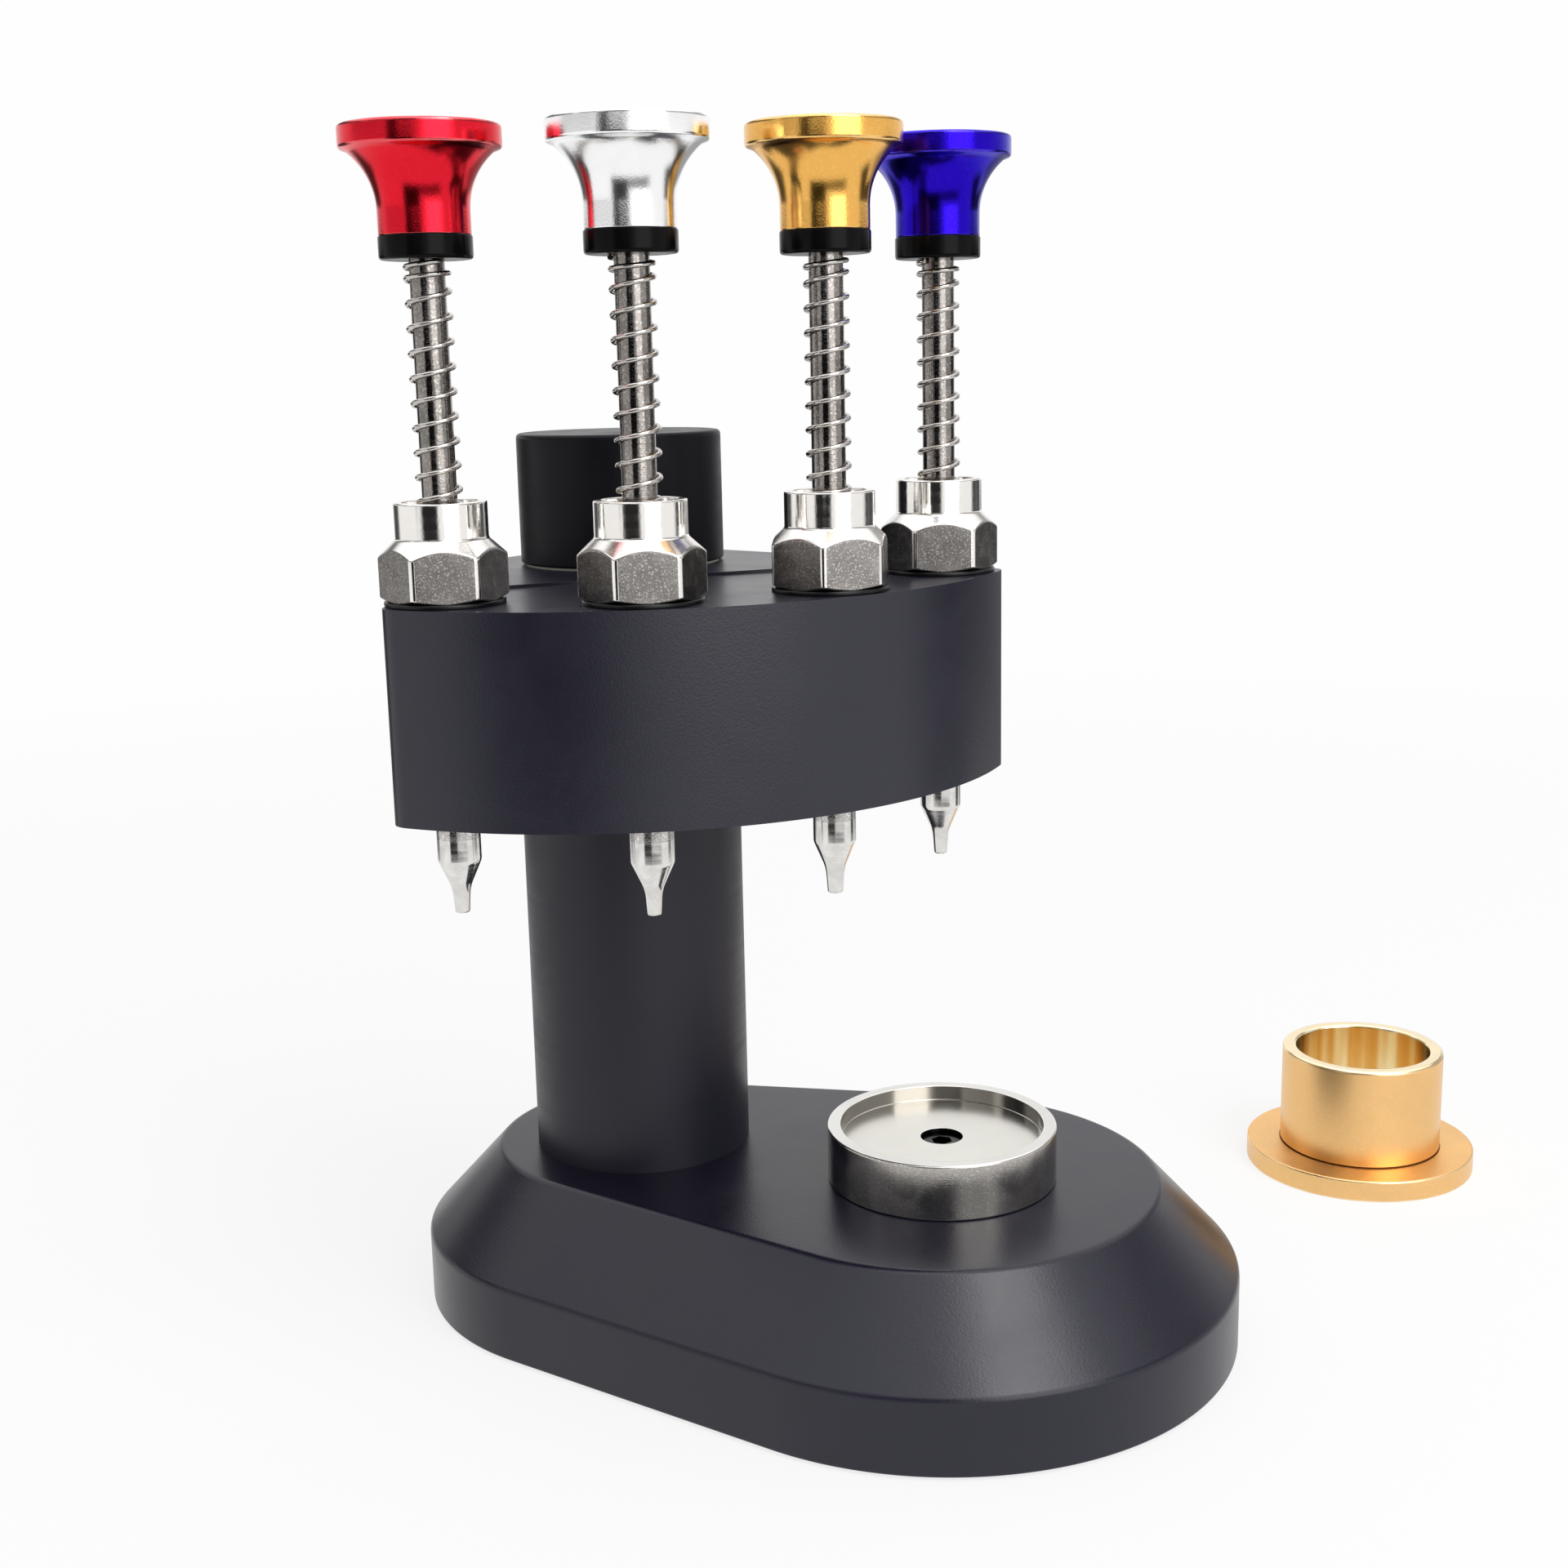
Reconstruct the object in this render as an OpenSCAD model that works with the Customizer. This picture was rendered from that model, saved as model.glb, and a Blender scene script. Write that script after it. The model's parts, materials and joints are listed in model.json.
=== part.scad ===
// Bench tool that presses hands onto a watch movement. A head with four sprung plungers
// turns on a post and brings each plunger over the seat that holds the movement.
// Z is up, the floor is z = 0, the post's axis is x = y = 0 and the seat lies towards +X.

/* [Base] */
// Distance from the post's axis to the seat's axis, and from the post's axis to each plunger
swing_r = 45; // [42:0.5:50]
// Radius of the base's rounded end at the post
base_post_r = 31.8; // [28:0.2:36]
// Radius of the base's rounded end at the seat
base_seat_r = 40.5; // [37:0.5:46]
// How far the post end's centre lies from the post's axis, towards the seat
base_post_shift = 0.9; // [0:0.1:4]
// How far the seat end's centre lies from the seat's axis, towards the post
base_seat_shift = 0.8; // [0:0.1:4]
// Height of the base casting
base_h = 21.4; // [19:0.2:25]
// Height of the base's upright edge
base_edge_h = 10; // [7:0.2:12]
// Width of the base's sloped edge, seen from above
base_slope_w = 10.6; // [8:0.2:12]
// Thickness of the rubber pad under the base
pad_t = 1; // [0.8:0.1:1.6]
// How deep the pad lies in the base's underside
pad_sink = 0.6; // [0.4:0.1:0.7]
// How far the pad's edge lies in from the base's edge
pad_inset = 2.5; // [2:0.5:5]

/* [Post] */
// Diameter of the post below the head
post_d = 30.2; // [28:0.2:32]
// Depth of the recess in the base that locates the post
post_sink = 1.5; // [1:0.1:3]
// Diameter of the journal that the head turns on
journal_d = 20; // [18:0.2:21]
// Diameter of the stud that carries the cap
stud_d = 12; // [10:0.5:13]
// Height of the stud above the journal
stud_h = 10; // [8:0.5:12]
// Diameter of the cap on top of the post
cap_d = 27.3; // [26.8:0.1:29]
// Height of the cap
cap_h = 17.1; // [14:0.1:20]
// Diameter of the screw that holds the post to the base
post_screw_d = 8; // [6:0.5:8]
// Length of that screw under its head
post_screw_l = 26; // [22:1:30]

/* [Head] */
// Height of the head's underside above the floor
head_z = 78.4; // [74:0.2:84]
// Thickness of the head in front
head_t = 25.2; // [23:0.2:28]
// Distance from the plungers' axes to the head's front face
head_front_wall = 7.5; // [7:0.25:10]
// Radius of the head round the post
head_post_r = 19; // [18:0.25:21]
// Distance from an outer plunger's axis to the head's side face
head_side = 6.3; // [5.6:0.1:8]
// Radius of the corners between the front face and the side faces
head_corner_r = 3; // [2:0.25:5]
// Height of the raised land round the post
land_h = 0.4; // [0.2:0.1:0.8]
// Distance from the post's axis to the land's straight front edge
land_reach = 21; // [20:0.5:23]
// How far the thrust washers stand out of the head
washer_show = 0.3; // [0.2:0.05:0.5]
// Thickness of a thrust washer
thrust_t = 1.5; // [1:0.1:2]
// Outer diameter of a thrust washer
thrust_d = 26; // [24:0.2:26.4]

/* [Index stop] */
// Diameter of the ball that clicks the head into place
index_ball_d = 3; // [2.5:0.1:3.5]
// How deep the ball runs in the groove round the journal
index_groove = 0.5; // [0.3:0.05:0.8]
// How much deeper the four resting places are than the groove
index_dimple = 0.25; // [0.15:0.05:0.4]
// Diameter of the screw that holds the ball's spring in
index_screw_d = 4; // [3.6:0.1:5]
// Length of that screw
index_screw_l = 3.2; // [2.5:0.1:3.4]

/* [Guide nut] */
// Distance across the flats of the guide nuts
nut_flats = 13; // [12:0.25:14]
// Height of the nut's hexagon at its corners
nut_hex_h = 5; // [4:0.1:6]
// Height of the cone between the hexagon and the collar
nut_cone_h = 2; // [1.5:0.1:3]
// Diameter of the nut's collar
collar_d = 10.7; // [10:0.1:11.5]
// Height of the collar
collar_h = 4.2; // [3.5:0.1:5]
// Diameter of the spring's seat inside the collar
collar_seat_d = 8.8; // [8:0.1:9]
// Depth of the spring's seat inside the collar
collar_seat_h = 1.8; // [1:0.1:2.5]
// Diameter of the nut's threaded stem
stem_d = 8; // [7:0.1:9]
// Length of the stem inside the head
stem_l = 5; // [4:0.1:6]
// Diameter of the washer under the nut
nut_washer_d = 14; // [13:0.1:14.4]
// Thickness of that washer
nut_washer_t = 0.5; // [0.3:0.1:0.8]

/* [Plunger] */
// Angle between neighbouring plungers about the post
plunger_step = 30; // [28:0.5:32]
// Diameter of the rod above the head
rod_d = 4; // [3.6:0.1:4.2]
// Diameter of the rod's thick end, which slides in the head, and of the tip
shank_d = 5.2; // [4.8:0.1:5.6]
// Height of the joint between the rod and the tip above the floor
tip_joint_z = 74.8; // [73:0.1:76]
// Height of the knob
knob_h = 11.8; // [11:0.1:12.2]
// Diameter of the knob's rim
knob_d = 18; // [17.4:0.1:19]
// Height of the knob's rim
knob_rim_h = 2.5; // [2.1:0.1:3]
// Diameter of the knob's neck
knob_neck_d = 10.3; // [9.6:0.1:11]
// Radius of the hollow curve between neck and rim
knob_flare_r = 8.1; // [7.6:0.1:9.5]
// Height of the straight neck
knob_neck_h = 2.7; // [2.3:0.1:3.4]
// Depth of the rod's hole in the knob
knob_bore_l = 6; // [4:0.5:8]
// Diameter of the black bumper ring under the knob
bumper_d = 10.5; // [10:0.1:11.5]
// Height of the bumper ring
bumper_h = 2.6; // [2:0.1:3.5]
// Height of the bumper's underside above the floor with the plunger up
bumper_z = 142; // [138:0.5:146]

/* [Tip] */
// Length of the tip's straight part
tip_straight_l = 2.5; // [1.5:0.1:3.5]
// Length of the tip's cone
tip_cone_l = 3.3; // [2.5:0.1:4.5]
// Length of the tip's nose
tip_nose_l = 2.3; // [1.5:0.1:3.5]
// How much the nose widens towards the cone, on its radius
tip_nose_flare = 0.22; // [0.1:0.02:0.4]
// Length of the threaded spigot that holds the tip to the rod
spigot_l = 3; // [2:0.1:3.5]
// Diameter of that spigot
spigot_d = 2.5; // [2:0.1:3]
// Depth of the small hole in the nose that clears the hand's tube
nose_bore_l = 1.8; // [1:0.1:2.2]

/* [Spring] */
// Diameter of the spring's wire
wire_d = 0.56; // [0.4:0.02:0.6]
// Clearance between a plunger spring's wire and its rod, on the radius
spring_gap = 0.17; // [0.15:0.01:0.3]
// Number of turns of a plunger spring
spring_turns = 11; // [9:1:12]

/* [Seat] */
// Diameter of the steel seat
seat_d = 30.8; // [29:0.1:33]
// Height of the seat
seat_h = 7.5; // [6.5:0.1:9]
// Diameter of the recess in the seat
seat_recess_d = 27.2; // [27:0.1:28]
// Depth of the recess in the seat
seat_recess_h = 2; // [1.5:0.1:2.5]
// Diameter of the screw that holds the seat
seat_screw_d = 3; // [2.5:0.1:3]
// Length of that screw under its head
seat_screw_l = 10; // [8:0.5:13]

/* [Loose ring] */
// Place of the loose ring beside the tool, along X
ring_x = 91; // [88:1:100]
// Place of the loose ring beside the tool, along Y
ring_y = 78; // [76:1:90]
// Diameter of the ring's flange
ring_flange_d = 35.6; // [33:0.2:38]
// Thickness of the ring's flange
ring_flange_t = 3.4; // [2.5:0.1:4]
// Diameter of the ring's tube, which drops into the seat's recess
ring_tube_d = 25.1; // [24:0.1:26.6]
// Diameter of the ring's bore
ring_bore_d = 20.8; // [19:0.1:22]
// Height of the whole ring
ring_h = 19.4; // [16:0.2:21]

/* [Hidden] */
$fn = 64;

// Clearances between the pieces, on the radius
slide_gap = 0.05;
thread_gap = 0.03;
loose_gap = 0.3;
// Small chamfer that breaks a turned edge
edge_break = 0.3;
// Gap between the turns at a spring's two ends
turn_gap = 0.5;
// How far a straight face lies in from the round one that it runs into
blend_step = 0.02;
// How far a cutter runs past the face that it opens
over = 1;

// Order of the plungers round the post, and the radius of each nose and of its hole
RED = 0;
SILVER = 1;
GOLD = 2;
BLUE = 3;
nose_r = [0.88, 0.82, 0.95, 0.86];
nose_bore_r = [0.5, 0.4, 0.6, 0.3];
function plunger_angle(i) = (i - BLUE) * plunger_step;
head_middle = (plunger_angle(RED) + plunger_angle(BLUE)) / 2;

// Heights of the base and of what stands on it
base_z = pad_t - pad_sink;
base_top = base_z + base_h;
post_end_x = base_post_shift;
seat_end_x = swing_r - base_seat_shift;
seat_top = base_top + seat_h;
seat_floor = seat_top - seat_recess_h;
base_side_angle = acos((base_post_r - base_seat_r) / (seat_end_x - post_end_x));
base_side_l = (seat_end_x - post_end_x) * sin(base_side_angle);
base_side_lap = 8;
base_slope = base_slope_w / (base_h - base_edge_h);

// Heights of the head and of the post inside it
head_top = head_z + head_t;
land_top = head_top + land_h;
shoulder_z = head_z - washer_show;
journal_top = land_top + washer_show;
cap_bore_h = stud_h + over;
index_z = head_z + head_t / 2;
index_angle = head_middle + 180;
index_r = journal_d / 2 + index_ball_d / 2 - index_groove;
index_screw_r = head_post_r - edge_break - index_screw_l;

// Heights of the guide nuts and of the plungers
nut_z = head_top + nut_washer_t;
collar_z = nut_z + nut_hex_h + nut_cone_h;
collar_top = collar_z + collar_h;
spring_z = collar_top - collar_seat_h;
spring_mid_r = rod_d / 2 + wire_d / 2 + spring_gap;
stop_z = head_top - stem_l;
knob_z = bumper_z + bumper_h;
nut_corner_r = nut_flats / 2 / cos(30);
knob_lip_h = knob_h - knob_rim_h - edge_break - knob_neck_h;
knob_lip_r = knob_neck_d / 2 + knob_flare_r - sqrt(pow(knob_flare_r, 2) - pow(knob_lip_h, 2));
cone_z = tip_joint_z - tip_straight_l;
nose_z = cone_z - tip_cone_l;
tip_z = nose_z - tip_nose_l;

// Sockets and heads of the screws
post_head_d = 13;
post_head_h = 8;
post_head_z = base_z + post_head_h + 1.6;
seat_head_d = 5.2;
seat_head_h = 3;
seat_head_sink = 3.6;
cap_screw_d = 3;
cap_screw_l = 5;
cap_screw_z = journal_top + stud_h / 2;

// Radius of the head's front face about the post
head_front_r = swing_r + head_front_wall;

// Corner circles of the head: each touches a side face and the front face
head_tangent = acos((head_post_r - head_side) / swing_r);
corner_along = sqrt(pow(head_front_r - head_corner_r, 2) - pow(head_post_r - head_corner_r, 2));
function side_normal(side) = let (a = side < 0
    ? plunger_angle(RED) - head_tangent : plunger_angle(BLUE) + head_tangent) [cos(a), sin(a)];
function along_side(side) = let (n = side_normal(side)) side * [n[1], -n[0]];
function corner(side) = side_normal(side) * (head_post_r - head_corner_r)
    + along_side(side) * corner_along;

// Upright slab with the base's plan, drawn in from its edge
module base_slab(h, inset = 0) {
    normal = [cos(base_side_angle), sin(base_side_angle)];
    post_n = (base_post_r - inset - blend_step) * normal;
    seat_n = (base_seat_r - inset - blend_step) * normal;
    union() {
        translate([post_end_x, 0, 0]) cylinder(h = h, r = base_post_r - inset);
        translate([seat_end_x, 0, 0]) cylinder(h = h, r = base_seat_r - inset);
        linear_extrude(h) polygon([
            [post_end_x + post_n[0], post_n[1]], [seat_end_x + seat_n[0], seat_n[1]],
            [seat_end_x + seat_n[0], -seat_n[1]], [post_end_x + post_n[0], -post_n[1]]]);
    }
}

// Cone over a rounded end of the base. Its side is the sloped edge, carried on past both faces
module base_end_slope(r) {
    translate([0, 0, -over]) cylinder(h = base_h + 2 * over,
        r1 = r + (base_edge_h + over) * base_slope, r2 = r - (base_h - base_edge_h + over) * base_slope);
}

// Wedge that joins the two cones on the left
module base_side_slope() {
    r = base_post_r - 2 * blend_step;
    inner = base_post_r - base_seat_r - base_side_lap;
    translate([post_end_x, 0, 0]) rotate([90, 0, base_side_angle]) linear_extrude(base_side_l)
        polygon([
            [inner, -over], [r + (base_edge_h + over) * base_slope, -over],
            [r - (base_h - base_edge_h + over) * base_slope, base_h + over], [inner, base_h + over]]);
}

module base_body() {
    color("#33343a") difference() {
        translate([0, 0, base_z]) intersection() {
            base_slab(base_h);
            union() {
                translate([post_end_x, 0, 0]) base_end_slope(base_post_r);
                translate([seat_end_x, 0, 0]) base_end_slope(base_seat_r);
                base_side_slope();
                mirror([0, 1, 0]) base_side_slope();
            }
        }
        translate([0, 0, base_z - over]) base_slab(pad_sink + over, pad_inset);
        translate([0, 0, base_top - post_sink])
            cylinder(h = post_sink + over, d = post_d + 2 * slide_gap);
        translate([0, 0, -over]) cylinder(h = base_top + over, d = post_screw_d + 2 * loose_gap);
        translate([0, 0, -over])
            cylinder(h = post_head_z + over, d = post_head_d + 2 * loose_gap);
        translate([swing_r, 0, seat_bore_bottom()])
            cylinder(h = base_h, d = seat_screw_d + 2 * thread_gap);
    }
}

function seat_bore_bottom() = seat_floor - seat_head_sink - seat_screw_l - over;

module base_pad() {
    color("#1c1c1e") base_slab(pad_t, pad_inset + slide_gap);
}

module post() {
    post_z = base_top - post_sink;
    color("#2f3036") difference() {
        rotate_extrude() polygon([
            [0, post_z], [post_d / 2, post_z], [post_d / 2, shoulder_z - edge_break],
            [post_d / 2 - edge_break, shoulder_z], [journal_d / 2, shoulder_z],
            [journal_d / 2, journal_top], [stud_d / 2, journal_top],
            [stud_d / 2, journal_top + stud_h - edge_break],
            [stud_d / 2 - edge_break, journal_top + stud_h], [0, journal_top + stud_h]]);
        translate([0, 0, post_z - over]) cylinder(
            h = post_head_z + post_screw_l - post_z + 2 * over,
            d = post_screw_d + 2 * thread_gap);
        rotate_extrude() translate([index_r, index_z]) circle(index_ball_d / 2 + slide_gap);
        for (i = [RED : BLUE])
            rotate([0, 0, index_angle + i * plunger_step])
                translate([index_r - index_dimple, 0, index_z])
                    sphere(d = index_ball_d + 2 * slide_gap);
    }
}

// Socket screw with its head's underside at z = 0 and its shank downwards
module socket_screw(d, l, head_d, head_h, socket_flats) {
    difference() {
        union() {
            cylinder(h = head_h, d = head_d);
            translate([0, 0, -l]) cylinder(h = l, d = d);
        }
        translate([0, 0, head_h / 2])
            cylinder(h = head_h, d = socket_flats / cos(30), $fn = 6);
    }
}

// Headless screw that lies along +X with its socket at the outer end
module grub_screw(d, l, socket_flats) {
    rotate([0, 90, 0]) difference() {
        cylinder(h = l, d = d);
        translate([0, 0, l / 2]) cylinder(h = l, d = socket_flats / cos(30), $fn = 6);
    }
}

module post_screw() {
    color("#5c5d61") translate([0, 0, post_head_z]) mirror([0, 0, 1])
        socket_screw(post_screw_d, post_screw_l, post_head_d, post_head_h, 6);
}

module post_cap() {
    r = cap_d / 2;
    color("#2a2b30") difference() {
        translate([0, 0, journal_top]) rotate_extrude() polygon([
            [0, 0], [r - edge_break, 0], [r, edge_break], [r, cap_h - 2 * edge_break],
            [r - 2 * edge_break, cap_h], [0, cap_h]]);
        translate([0, 0, journal_top - over])
            cylinder(h = cap_bore_h + over, d = stud_d + 2 * thread_gap);
        rotate([0, 0, index_angle]) translate([0, 0, cap_screw_z]) rotate([0, 90, 0])
            cylinder(h = cap_d, d = cap_screw_d + 2 * thread_gap);
    }
}

module cap_screw() {
    color("#5c5d61") rotate([0, 0, index_angle])
        translate([stud_d / 2 + thread_gap, 0, cap_screw_z])
            grub_screw(cap_screw_d, cap_screw_l, cap_screw_d / 2);
}

module thrust_washer(z) {
    color("#e8e4d8") translate([0, 0, z]) difference() {
        cylinder(h = thrust_t, d = thrust_d);
        translate([0, 0, -over]) cylinder(h = thrust_t + 2 * over, d = journal_d + 2 * loose_gap);
    }
}

module thrust_washer_lower() { thrust_washer(shoulder_z); }
module thrust_washer_upper() { thrust_washer(journal_top - thrust_t); }

module movement_seat() {
    r = seat_d / 2;
    recess_r = seat_recess_d / 2;
    color("#a9a79f") translate([swing_r, 0, base_top]) difference() {
        rotate_extrude() polygon([
            [0, 0], [r - edge_break, 0], [r, edge_break], [r, seat_h - edge_break],
            [r - edge_break, seat_h], [recess_r, seat_h], [recess_r, seat_h - seat_recess_h],
            [0, seat_h - seat_recess_h]]);
        translate([0, 0, -over])
            cylinder(h = seat_h + over, d = seat_screw_d + 2 * loose_gap);
        translate([0, 0, seat_h - seat_recess_h - seat_head_sink])
            cylinder(h = seat_head_sink + over, d = seat_head_d + 2 * slide_gap + loose_gap);
    }
}

module seat_screw() {
    color("#8d8d8f") translate([swing_r, 0, seat_floor - seat_head_sink])
        socket_screw(seat_screw_d, seat_screw_l, seat_head_d, seat_head_h, 2.5);
}

// Plan of the head: a round lobe at the post, two straight sides and a curved front face
module head_plan() {
    r_post = head_post_r - blend_step;
    r_corner = head_corner_r - blend_step;
    circle(head_post_r);
    for (side = [-1, 1]) translate(corner(side)) circle(head_corner_r);
    polygon([
        side_normal(-1) * r_post, corner(-1) + side_normal(-1) * r_corner, corner(-1),
        corner(1), corner(1) + side_normal(1) * r_corner, side_normal(1) * r_post]);
    intersection() {
        circle(head_front_r - blend_step, $fn = 192);
        polygon([[0, 0], 2 * corner(-1), 2 * corner(-1) + 2 * corner(1), 2 * corner(1)]);
    }
}

module head_body() {
    color("#33343a") difference() {
        union() {
            translate([0, 0, head_z]) linear_extrude(head_t) head_plan();
            translate([0, 0, head_top - over]) intersection() {
                linear_extrude(land_h + over) head_plan();
                rotate([0, 0, head_middle])
                    translate([land_reach - 2 * head_front_r, -head_front_r, 0])
                        cube([2 * head_front_r, 2 * head_front_r, 2 * over]);
            }
        }
        translate([0, 0, head_z - over])
            cylinder(h = head_t + land_h + 2 * over, d = journal_d + 2 * slide_gap);
        for (z = [head_z - over, land_top - thrust_t + washer_show])
            translate([0, 0, z])
                cylinder(h = thrust_t - washer_show + over, d = thrust_d + loose_gap);
        for (i = [RED : BLUE]) rotate([0, 0, plunger_angle(i)]) translate([swing_r, 0, 0]) {
            translate([0, 0, head_z - over])
                cylinder(h = head_t, d = shank_d + 2 * slide_gap);
            translate([0, 0, stop_z - edge_break])
                cylinder(h = stem_l + edge_break + over, d = stem_d + 2 * thread_gap);
        }
        rotate([0, 0, index_angle]) translate([0, 0, index_z]) rotate([0, 90, 0]) {
            cylinder(h = index_screw_r, d = index_ball_d + 2 * slide_gap);
            translate([0, 0, index_screw_r])
                cylinder(h = head_post_r, d = index_screw_d + 2 * thread_gap);
        }
    }
}

module index_ball() {
    color("#c9c9cc") rotate([0, 0, index_angle]) translate([index_r, 0, index_z])
        sphere(d = index_ball_d);
}

module index_screw() {
    color("#5c5d61") rotate([0, 0, index_angle]) translate([index_screw_r, 0, index_z])
        grub_screw(index_screw_d, index_screw_l, index_screw_d / 2);
}

// A guide nut stands on its washer: threaded stem, hexagon, cone and collar round the rod
module guide_nut(i) {
    cone_slope = nut_cone_h / (nut_corner_r - collar_d / 2);
    color("#bfbab2") rotate([0, 0, plunger_angle(i)]) translate([swing_r, 0, 0]) difference() {
        union() {
            translate([0, 0, stop_z]) cylinder(h = nut_z - stop_z, d = stem_d);
            translate([0, 0, nut_z]) intersection() {
                rotate([0, 0, nut_turn(i)])
                    cylinder(h = nut_hex_h + nut_cone_h, r = nut_corner_r, $fn = 6);
                rotate_extrude() polygon([
                    [0, 0], [nut_flats / 2, 0],
                    [nut_corner_r + over, (nut_corner_r + over - nut_flats / 2) / 2],
                    [nut_corner_r + over, nut_hex_h - over * cone_slope],
                    [collar_d / 2, nut_hex_h + nut_cone_h], [0, nut_hex_h + nut_cone_h]]);
            }
            translate([0, 0, collar_z]) rotate_extrude() polygon([
                [0, -edge_break], [collar_d / 2, -edge_break], [collar_d / 2, collar_h - edge_break],
                [collar_d / 2 - edge_break, collar_h], [0, collar_h]]);
        }
        translate([0, 0, stop_z - over])
            cylinder(h = collar_top - stop_z + 2 * over, d = rod_d + 2 * slide_gap);
        translate([0, 0, spring_z]) cylinder(h = collar_seat_h + over, d = collar_seat_d);
    }
}

// How far each nut stopped turning when it was tightened
function nut_turn(i) = [33, 32, 45, 24][i] - plunger_angle(i);

module guide_nut_red() { guide_nut(RED); }
module guide_nut_silver() { guide_nut(SILVER); }
module guide_nut_gold() { guide_nut(GOLD); }
module guide_nut_blue() { guide_nut(BLUE); }

module nut_washer(i) {
    color("#17171a") rotate([0, 0, plunger_angle(i)]) translate([swing_r, 0, head_top])
        difference() {
            cylinder(h = nut_washer_t, d = nut_washer_d);
            translate([0, 0, -over])
                cylinder(h = nut_washer_t + 2 * over, d = stem_d + 2 * slide_gap);
        }
}

module nut_washer_red() { nut_washer(RED); }
module nut_washer_silver() { nut_washer(SILVER); }
module nut_washer_gold() { nut_washer(GOLD); }
module nut_washer_blue() { nut_washer(BLUE); }

// Height of the wire at u turns up a spring: the first and last turns lie nearly closed
function coil_rise(u, turns, rise, closed) =
    u <= 1 ? closed * u
    : u > turns - 1 ? rise - closed * (turns - u)
    : closed + (rise - 2 * closed) * (u - 1) / (turns - 2);

// Points along a spring's wire. The wire leaves each seat straight, one wire across. The points
// lie a little outside the true circle, as far as the straight runs between them lie inside it
function coil_points(mid_r, wire, length, turns, rings) = let (
    ring_r = mid_r * (1 + 1 / cos(180 / rings)) / 2,
    step = wire / 2,
    rise = length - 2 * wire - 2 * step,
    closed = turns > 2 ? wire + turn_gap : rise / turns,
    last = turns * rings,
    climb = [for (k = [1 : last - 1])
        [k * 360 / rings, wire + step + coil_rise(k / rings, turns, rise, closed)]],
    path = concat([[0, 0], [0, wire]], climb,
        [[last * 360 / rings, length - wire], [last * 360 / rings, length]]))
    [for (p = path) [ring_r * cos(p[0]), ring_r * sin(p[0]), p[1], p[0]]];

// Least distance between the wire's surfaces more than half a turn apart
function coil_gap(points, wire, rings) = min([
    for (i = [0 : len(points) - 1]) for (j = [i + rings / 2 + 1 : 1 : len(points) - 1])
        norm([for (a = [0 : 2]) points[i][a] - points[j][a]]) - wire]);

function flat(p) = [p[0], p[1], p[2]];

// Spring along +Z from z = 0, one unbroken tube round its wire's points
module coil(mid_r, wire, length, turns, rings = 8, sides = 6) {
    points = coil_points(mid_r, wire, length, turns, rings);
    last = len(points) - 1;
    echo(least_gap_between_turns = coil_gap(points, wire, rings));
    vertices = [for (k = [0 : last]) let (
        ahead = flat(points[min(k + 1, last)]),
        behind = flat(points[max(k - 1, 0)]),
        along = (ahead - behind) / norm(ahead - behind),
        out = [cos(points[k][3]), sin(points[k][3]), 0],
        up = cross(along, out))
        for (s = [0 : sides - 1]) let (a = s * 360 / sides)
            flat(points[k]) + (out * cos(a) + up * sin(a)) * wire / 2];
    walls = [for (k = [0 : last - 1]) for (s = [0 : sides - 1]) let (
        a = k * sides + s,
        b = k * sides + (s + 1) % sides)
        each [[a, a + sides, b], [b, a + sides, b + sides]]];
    caps = [for (s = [1 : sides - 2])
        each [[0, s, s + 1],
            [last * sides, last * sides + s + 1, last * sides + s]]];
    polyhedron(points = vertices, faces = concat(walls, caps));
}

// How far each spring has crept round its rod
function spring_turn(i) = [320, 150, 55, 140][i];

module plunger_spring(i) {
    color("#9a938a") rotate([0, 0, plunger_angle(i)]) translate([swing_r, 0, spring_z])
        rotate([0, 0, spring_turn(i)])
            coil(spring_mid_r, wire_d, bumper_z - spring_z, spring_turns);
}

module spring_red() { plunger_spring(RED); }
module spring_silver() { plunger_spring(SILVER); }
module spring_gold() { plunger_spring(GOLD); }
module spring_blue() { plunger_spring(BLUE); }

module index_spring() {
    wire = 0.35;
    start = index_r + index_ball_d / 2;
    color("#9a938a") rotate([0, 0, index_angle]) translate([start, 0, index_z])
        rotate([0, 90, 0]) coil(index_ball_d / 2 - wire, wire, index_screw_r - start, 2);
}

module knob(i, tint) {
    rim_r = knob_d / 2;
    neck_r = knob_neck_d / 2;
    lip_z = knob_neck_h + knob_lip_h;
    color(tint) rotate([0, 0, plunger_angle(i)]) translate([swing_r, 0, knob_z]) difference() {
        rotate_extrude() union() {
            difference() {
                square([knob_lip_r, lip_z]);
                translate([neck_r, -over]) square([rim_r, knob_neck_h + over]);
                translate([neck_r + knob_flare_r, knob_neck_h]) circle(knob_flare_r, $fn = 96);
            }
            polygon([
                [0, lip_z - edge_break], [knob_lip_r - edge_break, lip_z - edge_break],
                [knob_lip_r, lip_z], [rim_r, lip_z + edge_break], [rim_r, knob_h - edge_break],
                [rim_r - edge_break, knob_h], [0, knob_h]]);
        }
        translate([0, 0, -over]) cylinder(h = knob_bore_l + over, d = rod_d + 2 * thread_gap);
    }
}

module knob_red() { knob(RED, "#c4102e"); }
module knob_silver() { knob(SILVER, "#d9d9db"); }
module knob_gold() { knob(GOLD, "#e0a23c"); }
module knob_blue() { knob(BLUE, "#3a12b4"); }

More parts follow.
